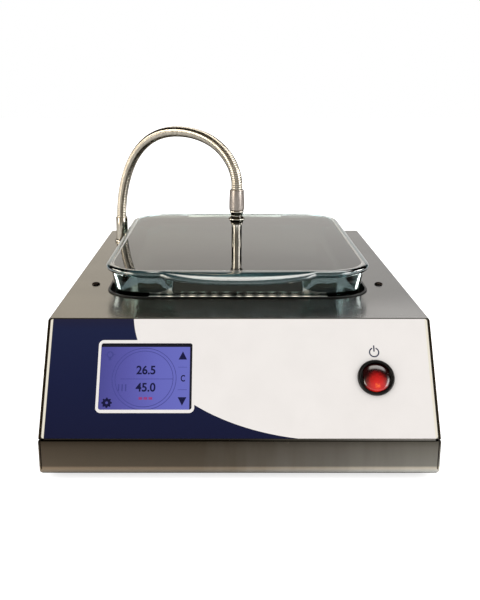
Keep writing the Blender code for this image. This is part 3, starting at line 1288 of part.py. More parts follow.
def power_inlet():
    """Three-pin mains inlet: flange, body, socket with its pins, and two screws."""
    upright = (math.pi / 2, 0.0, 0.0)
    face = PANEL_OUTER_Y + CLEARANCE
    flange = rounded_box_mesh((INLET_FLANGE_WIDTH, INLET_FLANGE_HEIGHT, INLET_FLANGE), INLET_FLANGE_RADIUS)
    inlet = place("power_inlet", flange, "black_nylon", None, (INLET_X, face + INLET_FLANGE / 2, inlet_z()), upright)
    depth = INLET_BODY_DEPTH + INLET_FLANGE / 2
    body = rounded_box_mesh((INLET_BODY_WIDTH, INLET_BODY_HEIGHT, depth), INLET_BODY_RADIUS, steps=ARC_STEPS)
    at = (INLET_X, face + INLET_FLANGE / 2 - depth / 2, inlet_z())
    combine(inlet, cutter("inlet_body", body, None, at, upright), "UNION")
    out = face + INLET_FLANGE
    socket = rounded_box_mesh((SOCKET_WIDTH, SOCKET_HEIGHT, SOCKET_DEPTH + CUT_OVERRUN), INLET_BODY_RADIUS, steps=ARC_STEPS)
    at = (INLET_X, out - SOCKET_DEPTH + (SOCKET_DEPTH + CUT_OVERRUN) / 2, inlet_z())
    combine(inlet, cutter("inlet_socket", socket, None, at, upright))
    pins = bmesh.new()
    floor = out - SOCKET_DEPTH
    length = PIN_LENGTH + CUT_OVERRUN
    for x, z in ((-PIN_SPREAD, -PIN_RISE), (PIN_SPREAD, -PIN_RISE), (0.0, PIN_RISE)):
        box_mesh((PIN_WIDTH, length, PIN_HEIGHT), (INLET_X + x, floor + PIN_LENGTH - length / 2, inlet_z() + z), pins)
    combine(inlet, cutter("inlet_pins", pins), "UNION")
    holes = bmesh.new()
    for side in (-1, 1):
        at = (INLET_X + side * INLET_SCREW_SPREAD, face + INLET_FLANGE / 2, inlet_z())
        cylinder_mesh(SCREW_HOLE_RADIUS, INLET_FLANGE + CUT_OVERRUN, at, "Y", bm=holes)
        sink = (at[0], out - INLET_SCREW_HEAD_HEIGHT / 2 + CUT_OVERRUN / 2, at[2])
        sink_depth = INLET_SCREW_HEAD_HEIGHT + CUT_OVERRUN
        combine(
            inlet,
            cutter("inlet_sink_%d" % side, cylinder_mesh(INLET_SCREW_HEAD_RADIUS + HOLE_CLEARANCE, sink_depth, sink, "Y")),
        )
    combine(inlet, cutter("inlet_holes", holes))
    profile = screw_profile(
        INLET_SCREW_HEAD_RADIUS, INLET_SCREW_HEAD_HEIGHT - CLEARANCE, SCREW_RADIUS, SCREW_LENGTH
    )
    for side, word in ((-1, "left"), (1, "right")):
        at = (INLET_X + side * INLET_SCREW_SPREAD, out - INLET_SCREW_HEAD_HEIGHT + CLEARANCE, inlet_z())
        turned("inlet_screw_" + word, profile, "bright_steel", None, at, (-math.pi / 2, 0.0, 0.0))


def control_board():
    """Heater control board on the pan's stand-offs, with its relay and terminal block."""
    middle_y = FRONT_Y + CONTROL_FROM_FRONT
    size = (CONTROL_WIDTH, CONTROL_LENGTH, BOARD_THICKNESS)
    at = (CONTROL_X, middle_y, BOARD_BOTTOM + BOARD_THICKNESS / 2)
    place("control_board", rounded_box_mesh(size, BOARD_RADIUS, steps=ARC_STEPS), "circuit_board", None, at)
    top = BOARD_BOTTOM + BOARD_THICKNESS + CLEARANCE
    relay = rounded_box_mesh((RELAY_WIDTH, RELAY_LENGTH, RELAY_HEIGHT), BOARD_THICKNESS / 2, steps=BEND_STEPS)
    place("board_relay", relay, "relay_case", None, (CONTROL_X + RELAY_FROM_MIDDLE, middle_y, top + RELAY_HEIGHT / 2))
    width = TERMINALS_COUNT * TERMINALS_PITCH
    y = middle_y - CONTROL_LENGTH / 2 + TERMINALS_FROM_EDGE + TERMINALS_DEPTH / 2
    at = (CONTROL_X, y, top + TERMINALS_HEIGHT / 2)
    block = place("board_terminals", box_mesh((width, TERMINALS_DEPTH, TERMINALS_HEIGHT)), "terminal_green", None, at)
    holes = bmesh.new()
    for i in range(TERMINALS_COUNT):
        x = (i - (TERMINALS_COUNT - 1) / 2) * TERMINALS_PITCH
        z = TERMINALS_HEIGHT / 2 - TERMINALS_SCREW_DEPTH / 2 + CUT_OVERRUN / 2
        cylinder_mesh(TERMINALS_SCREW_RADIUS, TERMINALS_SCREW_DEPTH + CUT_OVERRUN, (x, 0.0, z), bm=holes)
    return combine(block, cutter("terminal_screws", holes, None, at))


def power_supply():
    """Enclosed low-voltage supply: a metal case with a stepped end for its screw terminals."""
    at = (SUPPLY_X, FRONT_Y + SUPPLY_FROM_FRONT, FLOOR_TOP + CLEARANCE + SUPPLY_HEIGHT / 2)
    bm = box_mesh((SUPPLY_WIDTH, SUPPLY_LENGTH, SUPPLY_HEIGHT))
    soften(bm, bm.edges[:], SUPPLY_EDGE, 2)
    supply = place("power_supply", bm, "aluminium", None, at)
    step = box_mesh((SUPPLY_WIDTH - 2 * SUPPLY_EDGE, SUPPLY_STEP_LENGTH + CUT_OVERRUN, SUPPLY_STEP_DEPTH + CUT_OVERRUN))
    y = SUPPLY_LENGTH / 2 - (SUPPLY_STEP_LENGTH - CUT_OVERRUN) / 2
    z = SUPPLY_HEIGHT / 2 - (SUPPLY_STEP_DEPTH - CUT_OVERRUN) / 2
    bmesh.ops.translate(step, vec=(0.0, y, z), verts=step.verts)
    combine(supply, cutter("supply_step", step, None, at))
    heads = bmesh.new()
    floor = SUPPLY_HEIGHT / 2 - SUPPLY_STEP_DEPTH
    for i in range(SUPPLY_TERMINAL_COUNT):
        x = (i - (SUPPLY_TERMINAL_COUNT - 1) / 2) * SUPPLY_TERMINAL_PITCH
        cylinder_mesh(SCREW_HEAD_RADIUS, 2 * SCREW_HEAD_HEIGHT, (x, y, floor), bm=heads)
    return combine(supply, cutter("supply_terminals", heads, None, at), "UNION")


# Wiring
def lead(name, radius, start, first, last, end, finish="wire_sleeve"):
    """A lead from one place to another: straight for its own diameter at both ends, and bent between them."""
    leaving = start + first.normalized() * 2 * radius
    arriving = end + last.normalized() * 2 * radius
    points = [start, leaving] + bezier(leaving, leaving + first, arriving + last, arriving, LEAD_POINTS) + [end]
    return place(name, tube_mesh(points, [radius] * len(points), fineness=1), finish)


def terminal_place(number):
    """Just above one of the control board's terminals, counted from the left."""
    x = CONTROL_X + (number - (TERMINALS_COUNT + 1) / 2) * TERMINALS_PITCH
    y = FRONT_Y + CONTROL_FROM_FRONT - CONTROL_LENGTH / 2 + TERMINALS_FROM_EDGE + TERMINALS_DEPTH / 2
    return Vector((x, y, BOARD_BOTTOM + BOARD_THICKNESS + 2 * CLEARANCE + TERMINALS_HEIGHT))


def wiring():
    """The leads between the boards, the switch, the inlet, the heater, the lights and the probe."""
    up = Vector((0.0, 0.0, 1.0))
    back = Vector((0.0, 1.0, 0.0))
    inward = Vector((0.0, math.cos(SLOPE_LEAN), -math.sin(SLOPE_LEAN)))
    uphill = Vector((0.0, math.sin(SLOPE_LEAN), math.cos(SLOPE_LEAN)))
    foot = Vector((0.0, FRONT_Y, LIP_TOP))
    board_top = BOARD_BOTTOM + BOARD_THICKNESS + CLEARANCE
    board_front = FRONT_Y + CONTROL_FROM_FRONT - CONTROL_LENGTH / 2
    board_left = CONTROL_X - CONTROL_WIDTH / 2
    board_right = CONTROL_X + CONTROL_WIDTH / 2
    start = foot + uphill * slope_z(DISPLAY_DOWN) + inward * (display_stack() + CLEARANCE)
    start.x = DISPLAY_X
    end = Vector((board_right - DISPLAY_LEAD_FROM_EDGE, board_front + DISPLAY_LEAD_FROM_EDGE, board_top))
    lead("display_cable", CABLE_RADIUS, start, inward * LONG_BEND, up * LONG_BEND, end)
    start = foot + uphill * slope_z(SWITCH_DOWN) + inward * (HOUSING_DEPTH + TERMINAL_LENGTH + CLEARANCE)
    start.x = SWITCH_X
    lead("switch_lead", CABLE_RADIUS, start, inward * LEAD_BEND, up * LEAD_BEND, terminal_place(TERMINALS_COUNT))
    start = Vector((INLET_X, PANEL_OUTER_Y + CLEARANCE - INLET_BODY_DEPTH - CLEARANCE, inlet_z()))
    supply_back = FRONT_Y + SUPPLY_FROM_FRONT + SUPPLY_LENGTH / 2
    heads_top = FLOOR_TOP + CLEARANCE + SUPPLY_HEIGHT - SUPPLY_STEP_DEPTH + SCREW_HEAD_HEIGHT
    end = Vector((SUPPLY_X, supply_back - SUPPLY_STEP_LENGTH / 2, heads_top + CLEARANCE))
    lead("supply_lead", CABLE_RADIUS, start, -back * LONG_BEND, up * LEAD_BEND, end)
    start = Vector((HEATER_LEAD_X, CUTOUT_Y + HEATER_LEAD_FROM_MIDDLE, PAD_TOP - PAD_THICKNESS - CLEARANCE))
    knee = Vector((start.x, start.y, TRAY_FLOOR_TOP - TRAY_SHEET - LEAD_DROP / 2))
    end = terminal_place(2)
    arriving = end + up * 2 * LEAD_RADIUS
    bend = bezier(knee, knee - up * LEAD_DROP, arriving + up * LEAD_BEND, arriving, LEAD_POINTS)
    points = [start, knee] + bend + [end]
    place("heater_lead", tube_mesh(points, [LEAD_RADIUS] * len(points), fineness=1), "wire_sleeve")
    blade_low = HEATER_TOP - HEATER_THICKNESS - CLEARANCE - CUTOUT_DISC_HEIGHT - TERMINAL_LENGTH + CUT_OVERRUN
    start = Vector((-CUTOUT_DISC_RADIUS / 2, CUTOUT_Y + CUTOUT_DISC_FROM_MIDDLE, blade_low - CLEARANCE))
    lead("cutout_lead", LEAD_RADIUS, start, -up * LEAD_DROP, up * LEAD_BEND, terminal_place(4))
    ferrule_low = PLATE_TOP + CLEARANCE + BUSH_FLANGE_HEIGHT + CLEARANCE - SPIGOT_LENGTH
    start = Vector((GOOSENECK_X, GOOSENECK_Y, ferrule_low - CLEARANCE))
    rear = FRONT_Y + CONTROL_FROM_FRONT + CONTROL_LENGTH / 2 - PROBE_LEAD_FROM_EDGE
    end = Vector((board_left + PROBE_LEAD_FROM_EDGE, rear, board_top))
    lead("probe_lead", LEAD_RADIUS, start, -up * 2 * LONG_BEND, up * LONG_BEND, end)
    start = Vector((LIGHT_LEAD_X, strip_back_y() - CLEARANCE, light_lead_z()))
    uphill_by = slope_z(DISPLAY_DOWN) + DISPLAY_BOARD_HEIGHT / 2 - LIGHT_LEAD_FROM_EDGE
    end = foot + uphill * uphill_by + inward * (display_stack() + CLEARANCE)
    end.x = LIGHT_LEAD_X
    lead("light_lead", LEAD_RADIUS, start, -back * LEAD_BEND, inward * LEAD_BEND, end)


for old in list(bpy.data.objects):
    bpy.data.objects.remove(old)

PARTS = collection("tissue_flotation_bath")
CUTTERS = collection("cutters")
SLOPE = guide("slope_frame", (0.0, FRONT_Y, LIP_TOP), (-SLOPE_LEAN, 0.0, 0.0))
ROCKER_AXIS = guide("rocker_axis", (SWITCH_X, rocker_axis_y(), slope_z(SWITCH_DOWN)), parent=SLOPE)
DISH_FRAME = guide("dish_frame", (0.0, CUTOUT_Y, DISH_BOTTOM))
SWIVEL_FRAME = guide("swivel_axis", (GOOSENECK_X, GOOSENECK_Y, PLATE_TOP), (0.0, 0.0, ARCH_HEADING))
ARCH_FRAME = guide("arch_frame", (GOOSENECK_X, GOOSENECK_Y, PLATE_TOP), (0.0, 0.0, ARCH_HEADING))

base_pan()
top_cover()
front_label()
rear_panel()
cover_brackets()
cutout_trim()
well_tray()
heater_stack()
thermal_cutout()
led_strip()
display()
switch_housing()
switch_rocker()
glass_dish()
gooseneck_tube()
gooseneck_base()
probe()
screws()
feet()
power_inlet()
control_board()
power_supply()
wiring()
bpy.context.view_layer.update()
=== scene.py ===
"""Tissue flotation bath: the visual model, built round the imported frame.

Metres, +Z up, the front faces -Y. Laid out as an add-on and run as a script.
"""

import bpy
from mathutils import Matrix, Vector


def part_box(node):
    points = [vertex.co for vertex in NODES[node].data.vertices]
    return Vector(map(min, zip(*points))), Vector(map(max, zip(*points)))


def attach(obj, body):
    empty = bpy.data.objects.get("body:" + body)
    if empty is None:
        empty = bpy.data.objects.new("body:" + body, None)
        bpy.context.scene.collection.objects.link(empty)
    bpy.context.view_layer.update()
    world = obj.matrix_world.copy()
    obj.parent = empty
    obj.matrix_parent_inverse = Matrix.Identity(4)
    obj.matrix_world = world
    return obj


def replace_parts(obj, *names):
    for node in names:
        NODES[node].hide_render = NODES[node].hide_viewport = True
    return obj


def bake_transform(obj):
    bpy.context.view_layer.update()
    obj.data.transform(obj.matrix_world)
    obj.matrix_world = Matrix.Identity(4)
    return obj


bl_info = {
    "name": "Tissue Flotation Bath",
    "version": (1, 0, 0),
    "blender": (4, 5, 0),
    "location": "View3D > Sidebar > Bath",
    "description": "Finishes and fine pieces of a tissue flotation bath",
    "category": "Object",
}

import math
from functools import partial

import bmesh
import bpy
from bpy.props import FloatProperty, FloatVectorProperty, IntProperty, PointerProperty
from mathutils import Matrix, Vector

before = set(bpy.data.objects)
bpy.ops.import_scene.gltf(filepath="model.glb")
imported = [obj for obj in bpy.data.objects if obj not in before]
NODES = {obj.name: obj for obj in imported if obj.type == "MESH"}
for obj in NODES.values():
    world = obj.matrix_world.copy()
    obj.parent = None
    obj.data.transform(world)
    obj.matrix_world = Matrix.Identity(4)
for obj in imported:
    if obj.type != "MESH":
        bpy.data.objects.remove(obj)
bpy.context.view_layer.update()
MM = 0.001
WELD = 0.01 * MM  # vertices nearer than this are merged

# Housing
PLATE_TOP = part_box("top_cover")[1].z
FRONT_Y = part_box("base_pan")[0].y
HOUSING_HALF = 127 * MM
LIP_FOOT = 4.5 * MM
LIP_TOP = 27.3 * MM
SLOPE_FOOT = Vector((0.0, FRONT_Y, LIP_TOP))
SLOPE_TOP = Vector((0.0, FRONT_Y + 50.1 * MM, PLATE_TOP))
UPHILL = (SLOPE_TOP - SLOPE_FOOT).normalized()
OUTWARD = Vector((0.0, -UPHILL.z, UPHILL.y))
SLOPE_TURN = math.atan2(UPHILL.z, UPHILL.y)
DISPLAY_MIDDLE = SLOPE_TOP - UPHILL * 40.3 * MM + Vector((-60.5 * MM, 0.0, 0.0))
SWITCH_MIDDLE = SLOPE_TOP - UPHILL * 41.7 * MM + Vector((88.4 * MM, 0.0, 0.0))

# Dish
DISH_LOW, DISH_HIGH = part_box("glass_dish")
DISH_CENTRE = Vector((0.0, (DISH_LOW.y + DISH_HIGH.y) / 2, DISH_LOW.z))
DISH_HEIGHT = DISH_HIGH.z - DISH_LOW.z
DISH_PLAN = (99.2 * MM, 128.05 * MM, 37 * MM, 14)  # half width, half length, corner, steps to a corner
WALL_HEIGHT = 50 * MM
WALL_DRAFT = 7.25 * MM
GLASS_FLOOR = 5 * MM
OUTER_HEEL = 9 * MM
INNER_HEEL = 7 * MM
BEAD = 3 * MM
BEAD_HEIGHT = 5 * MM
RIM_EASE = 3 * MM
HANDLE_HALF = 56 * MM
HANDLE_DEPTH = 13 * MM
HANDLE_TILT = math.radians(12.0)
LED_PITCH = 8.323 * MM

# Gooseneck: its heights are over the plate, its reaches along its own upright plane
GOOSENECK_FOOT = Vector((-109.0 * MM, 126.5 * MM, PLATE_TOP))
PROBE_FOOT = Vector((0.0, 8.0 * MM, PLATE_TOP))
TUBE_RADIUS = 4.5 * MM
TUBE_START = 6.6 * MM
TUBE_END = 61.3 * MM
ARCH_LEG = 24.5 * MM
ARCH_CROWN = 108.8 * MM
ARCH_CROWN_SHARE = 0.573
ARCH_DROP = 70.3 * MM
PULL_UPRIGHT = 13 * MM
PULL_BACK = 84 * MM
PULL_FRONT = 53 * MM


def linear(code):
    """Turns an sRGB hex code into a linear colour."""
    channels = [int(code[i : i + 2], 16) / 255 for i in (0, 2, 4)]
    return [c / 12.92 if c <= 0.04045 else ((c + 0.055) / 1.055) ** 2.4 for c in channels]


def paint(code):
    """The same with an alpha of one, as a socket takes it."""
    return (*linear(code), 1.0)


def measure(name, description, default):
    """A length that the sidebar shows."""
    return FloatProperty(name=name, description=description, default=default, unit="LENGTH")


def hue(name, description, code):
    """A colour that the sidebar shows."""
    return FloatVectorProperty(name=name, description=description, subtype="COLOR", size=3, default=linear(code))


class BathSizes(bpy.types.PropertyGroup):
    glass: measure("Glass", "Thickness of the dish's wall", 4.2 * MM)
    water_below_rim: measure("Water below rim", "How far the water stands below the dish's rim", 0.35 * MM)
    rib_depth: measure("Rib depth", "Depth of the gooseneck's grooves", 0.28 * MM)
    ribs: IntProperty(name="Ribs", description="Turns of strip in the gooseneck", default=150, min=20, max=200)


class BathColours(bpy.types.PropertyGroup):
    backdrop: hue("Backdrop", "Colour of the floor and the backdrop", "FFFFFF")
    glass: hue("Glass", "Colour that light takes on in the dish's wall", "8FD6DC")
    water: hue("Water", "Colour that light takes on in the water", "7A6C50")
    margin: hue("Film margin", "Colour of the front film beside its print", "EAE3D2")


# Node patterns
def feed(node, *inputs, **named):
    """Feeds a node's inputs, in their order or by name, each from a socket or with a value."""
    for key, given in [*enumerate(inputs), *named.items()]:
        socket = node.inputs[key.replace("_", " ") if isinstance(key, str) else key]
        if isinstance(given, bpy.types.NodeSocket):
            node.id_data.links.new(given, socket)
        else:
            socket.default_value = given


def add_node(tree, kind, *inputs, stops=(), **named):
    """Adds a node and gives back its output, or all of them where it has several.

    A kind may carry its operation or data type. Names with a capital are inputs and the others settings. The
    stops are a ramp's positions and hex codes, and a ramp gives back its colour.
    """
    kind, _, operation = kind.partition(" ")
    made = tree.nodes.new("ShaderNode" + kind)
    if operation:
        setattr(made, "data_type" if kind == "Mix" else "operation", operation)
    for key in filter(str.islower, named):
        setattr(made, key, named[key])
    feed(made, *inputs, **{key: given for key, given in named.items() if not key.islower()})
    for position, _ in stops[1:-1]:
        made.color_ramp.elements.new(position)
    for element, (position, code) in zip(made.color_ramp.elements if stops else (), stops):
        element.position = position
        element.color = paint(code)
    live = [socket for socket in made.outputs if socket.enabled]
    return live[0] if len(live) == 1 or stops else made.outputs


def mask(add, *edges):
    """Where every edge is passed: a (value, start, end) rises softly from 0 at its start to 1 at its end."""
    whole = None
    for value, start, end in edges:
        step = add("MapRange", value, start, end, interpolation_type="SMOOTHSTEP")
        whole = step if whole is None else add("Math MULTIPLY", whole, step)
    return whole


def grain(add, place, lengths, detail=2.0):
    """Noise whose features have one length all ways, or one each along X, Y and Z."""
    lengths = [lengths] * 3 if isinstance(lengths, float) else lengths
    spread = add("Mapping", Vector=place, Scale=[1.0 / length for length in lengths])
    return add("TexNoise", Vector=spread, Scale=1.0, Detail=detail)["Fac"]


def mottle(add, place, codes, lengths, detail=2.0):
    """Two shades that drift into each other, and the noise that mixes them."""
    spots = grain(add, place, lengths, detail)
    return add("ValToRGB", spots, stops=[(0.3, codes[0]), (0.7, codes[1])]), spots


def new_material(name, roughness, metallic=0.0):
    """A material with nothing on it yet: what adds its nodes, its shader, and the place on the object."""
    material = bpy.data.materials.new(name)
    material.use_nodes = True
    add = partial(add_node, material.node_tree)
    shader = material.node_tree.nodes["Principled BSDF"]
    feed(shader, Roughness=roughness, Metallic=metallic)
    return material, add, shader, add("TexCoord")["Object"]


def slope_pattern(add, place, middle, scale=(1.0, 1.0, 1.0)):
    """Places on the sloped front about a point, and their X across, Y uphill and Z outwards."""
    turn = (SLOPE_TURN, 0.0, 0.0)
    local = add("Mapping", place, middle, turn, scale, vector_type="TEXTURE")
    return local, *add("SeparateXYZ", local)


def give(material, *names):
    """Puts a material on the CAD nodes of these names."""
    for name in names:
        for slot in NODES[name].material_slots:
            slot.material = material


# Finishes. Real scratches and moulded textures are some 0.1 mm wide, a sixth of what a pixel covers, so they
# are drawn as coarse as they need to show.
BRUSHED = (40 * MM, 0.3 * MM, 0.3 * MM)
SHEET_CLOUD = (90 * MM, 50 * MM, 50 * MM)


def brushed_steel(name, codes, lengths, roughness=0.3):
    """Number 4 brushed stainless: fine straight scratches that draw reflections out across the grain."""
    material, add, shader, place = new_material(name, roughness, 1.0)
    scratch = grain(add, place, lengths)
    both = add("Mix", Factor=0.5, A=scratch, B=grain(add, place, SHEET_CLOUD, 1.0))
    colour = add("ValToRGB", both, stops=[(0.3, codes[0]), (0.7, codes[1])])
    uneven = add("MapRange", scratch, 0.0, 1.0, roughness - 0.06, roughness + 0.08)
    bump = add("Bump", Height=scratch, Strength=0.2, Distance=0.02 * MM)
    feed(shader, Base_Color=colour, Roughness=uneven, Normal=bump)
    return material, add, shader, place, colour


def washed(add, colour, wash, where=1.0):
    """A colour with another washed over it there."""
    return add("Mix RGBA", Factor=where, A=colour, B=wash, blend_type="MULTIPLY")


def cover_steel():
    """Brushed stainless, cover: silvery, with a painted reflection warmer at the left, and painted shade along
    its hemmed foot, side folds and bent front edge.
    """
    name = "brushed stainless, cover"
    material, add, shader, place, colour = brushed_steel(name, ("AEAEAE", "BEBEBE"), BRUSHED, 0.18)
    x, y, z = add("SeparateXYZ", place)
    aside = add("Math ABSOLUTE", x)
    right = mask(add, (x, -130 * MM, 130 * MM))
    # Painted reflection: the steel is washed warmer at the left and greyer at the right, except at the front
    # right
    wash = add("ValToRGB", right, stops=[(0.0, "E8E2D4"), (1.0, "D6D6D6")])
    lift = mask(add, (y, SLOPE_TOP.y + 70 * MM, SLOPE_TOP.y), (x, 30 * MM, 120 * MM))
    colour = washed(add, colour, wash, add("Math SUBTRACT", 1.0, lift))
    # Painted shade along the foot of the slope, darkest at the left and gone at the right
    right = mask(add, (x, -HOUSING_HALF, HOUSING_HALF))
    stops = [(0.0, "2A2620"), (0.5, "4A4742"), (0.75, "B0B0AA"), (1.0, "FFFFFF")]
    hem_painted_shade = add("ValToRGB", right, stops=stops)
    colour = washed(add, colour, hem_painted_shade, mask(add, (z, LIP_TOP + 2.5 * MM, LIP_TOP + 0.7 * MM)))
    # Painted shade along the outer side folds, as a dark outline
    front = add("Math LESS_THAN", aside, HOUSING_HALF - 0.03 * MM)
    fold_painted_shade = mask(add, (aside, HOUSING_HALF - 1.3 * MM, HOUSING_HALF - 1.0 * MM), (front, 0.0, 1.0))
    colour = washed(add, colour, paint("8A7A66"), fold_painted_shade)
    # Painted shade over the plate's bent front edge
    _, _, rise, out = slope_pattern(add, place, SLOPE_TOP)
    bend_painted_shade = mask(add, (rise, -1.3 * MM, -0.9 * MM), (out, -0.25 * MM, -0.15 * MM))
    colour = washed(add, colour, paint("8C8C8A"), bend_painted_shade)
    feed(shader, Base_Color=colour, Specular_Tint=(0.65, 0.65, 0.65, 1.0))
    return material


def pan_steel():
    """Brushed stainless, pan: a painted highlight line along the lip's foot, painted shade up to the seam, a
    painted reflection paling to the right, and handling marks.
    """
    name = "brushed stainless, pan"
    material, add, shader, place, _ = brushed_steel(name, ("8A857C", "A09A90"), BRUSHED, 0.34)
    x, _, z = add("SeparateXYZ", place)
    # Painted reflection across the lip, brown at the left and pale at the right, mixed with real handling marks
    across = add("MapRange", x, -HOUSING_HALF, HOUSING_HALF)
    marks = grain(add, place, (9 * MM, 9 * MM, 60 * MM))
    mixed = add("Mix", Factor=0.2, A=across, B=marks)
    stops = [(0.1, "9C9080"), (0.45, "938A7C"), (0.7, "BCBAB4"), (0.95, "E6E8E2")]
    painted_reflection_and_marks = add("ValToRGB", mixed, stops=stops)
    # Painted light up the lip: dark at the very foot, a painted highlight line above it, then painted shade
    # deepening up to the seam
    height = add("MapRange", z, LIP_FOOT, LIP_TOP)
    stops = [(0.0, "6A5F50"), (0.04, "6A5F50"), (0.08, "F4F4F4"), (0.2, "F4E8DA")]
    stops += [(0.26, "A09C97"), (0.8, "85807A"), (1.0, "645F58")]
    painted_light_bands = add("ValToRGB", height, stops=stops)
    feed(shader, Base_Color=washed(add, painted_reflection_and_marks, painted_light_bands))
    return material


def plated(name, codes, roughness, size=1.5 * MM):
    """Polished or satin plating: near mirror, with faint wipe marks."""
    material, add, shader, place = new_material(name, roughness, 1.0)
    colour, smear = mottle(add, place, codes, (size, size, 6 * size))
    uneven = add("MapRange", smear, 0.0, 1.0, roughness * 0.8, roughness * 1.3)
    feed(shader, Base_Color=colour, Roughness=uneven, Specular_Tint=(0.2, 0.17, 0.14, 1.0))
    return material


def moulded(name, codes, roughness, size=0.6 * MM, depth=0.03 * MM):
    """Moulded plastic or rubber: an even colour with a fine spark-eroded texture that breaks up its shine."""
    material, add, shader, place = new_material(name, roughness)
    colour, texture = mottle(add, place, codes, size, 3.0)
    bump = add("Bump", Height=texture, Strength=0.4, Distance=depth)
    feed(shader, Base_Color=colour, Specular_IOR_Level=0.25, Normal=bump)
    return material


def printed_film(margin):
    """Polyester film printed from behind: navy, painted darker downhill as shade, and flat warm white, with a
    clean edge, under a satin coat.
    """
    material, add, shader, place = new_material("printed polyester film", 0.32)
    # The navy field's edge is a quarter of an ellipse, and straight to the left of the ellipse's middle
    middle = SLOPE_TOP + UPHILL * 3 * MM + Vector((60 * MM, 0.0, 0.0))
    field = slope_pattern(add, place, middle, (130 * MM, 85.6 * MM, 1.0))[0]
    left_part = add("VectorMath MINIMUM", field, (0.0, 9.0, 9.0))
    field_white = add("Math LESS_THAN", add("VectorMath LENGTH", left_part), 1.0)

    # The display has a white frame with round corners
    window, _, uphill, _ = slope_pattern(add, place, DISPLAY_MIDDLE)
    radius = 3.5 * MM
    core = (31.6 * MM - radius, 24.55 * MM - radius, 1.0)
    beyond = add("VectorMath SUBTRACT", add("VectorMath ABSOLUTE", window), core)
    outside = add("VectorMath MAXIMUM", beyond, (0.0, 0.0, 0.0))
    frame_white = add("Math LESS_THAN", add("VectorMath LENGTH", outside), radius)
    white = add("Math MAXIMUM", frame_white, field_white)

    # Painted shade: the navy darkens downhill, as less light falls there
    shade = add("MapRange", uphill, -45 * MM, 40 * MM)
    stops = [(0.0, "171A36"), (0.5, "191E3E"), (0.9, "1D2342"), (1.0, "22223A")]
    navy = add("ValToRGB", shade, stops=stops)
    pale, _ = mottle(add, place, ("EDE8E4", "F0EBE7"), 20 * MM)
    colour = add("Mix RGBA", Factor=white, A=navy, B=pale)
    # Painted highlight: the film's outer edge takes the margin colour, for the bright steel edge beside the
    # label
    aside = add("Math ABSOLUTE", add("SeparateXYZ", place)["X"])
    edge = mask(add, (aside, HOUSING_HALF - 3.7 * MM, HOUSING_HALF - 3.3 * MM))
    colour = add("Mix RGBA", Factor=edge, A=colour, B=(*margin, 1.0))
    bump = add("Bump", Height=grain(add, place, 0.8 * MM), Strength=0.15, Distance=0.02 * MM)
    feed(shader, Base_Color=colour, Specular_IOR_Level=0.06, Normal=bump)
    return material


def lit_display():
    """Transmissive display behind touch glass: an even violet glow, dark along its top and right edges."""
    material, add, shader, place = new_material("lit liquid crystal display", 0.12)
    _, x, y, _ = slope_pattern(add, place, DISPLAY_MIDDLE)
    lit = add("Math MULTIPLY", add("Math LESS_THAN", x, 28.3 * MM), add("Math LESS_THAN", y, 20.5 * MM))
    drift = add("MapRange", x, -30 * MM, 30 * MM)
    # The cells are 0.18 mm apart, drawn twice as coarse
    blend = add("Mix", Factor=0.15, A=drift, B=grain(add, place, 0.35 * MM, 0.0))
    stops = [(0.0, "47478C"), (0.3, "5856A6"), (0.6, "6668BC"), (1.0, "6C70C4")]
    violet = add("ValToRGB", blend, stops=stops)
    glow = add("Mix RGBA", Factor=lit, A=paint("15151C"), B=violet)
    feed(shader, Base_Color=paint("101018"), Emission_Color=glow, Emission_Strength=0.95)
    feed(shader, Specular_IOR_Level=0.2)
    return material


def display_ink(name, code, pale):
    """Dyed crystal in front of the glow: matt segments with a faint cell pattern."""
    material, add, shader, place = new_material(name, 0.3)
    colour, _ = mottle(add, place, (code, pale), 0.4 * MM, 0.0)
    feed(shader, Base_Color=colour, Specular_IOR_Level=0.1)
    return material


def red_lens():
    """Clear red polycarbonate over a neon lamp: deep red, orange where the lamp stands, softly shiny."""
    material, add, shader, place = new_material("lit red polycarbonate", 0.12)
    lamp_size = (9.4 * MM, 12.8 * MM, 30 * MM)
    lamp = slope_pattern(add, place, SWITCH_MIDDLE - UPHILL * 6.2 * MM, lamp_size)[0]
    reach = add("VectorMath LENGTH", lamp)
    warped = add("Math MULTIPLY_ADD", grain(add, place, 1.6 * MM), 0.25, reach)
    stops = [(0.16, "FFC870"), (0.26, "FF6824"), (0.38, "D41614")]
    stops += [(0.66, "B01010"), (0.9, "480606"), (1.0, "180404")]
    glow = add("ValToRGB", warped, stops=stops)
    # The lens's own colour is painted darker away from the lamp, as shade
    colour = add("ValToRGB", warped, stops=[(0.2, "700A0A"), (1.0, "1A0404")])
    feed(shader, Base_Color=colour, Emission_Color=glow, Emission_Strength=0.85)
    feed(shader, Specular_IOR_Level=0.3, Coat_Weight=1.0, Coat_Roughness=0.16)
    return material


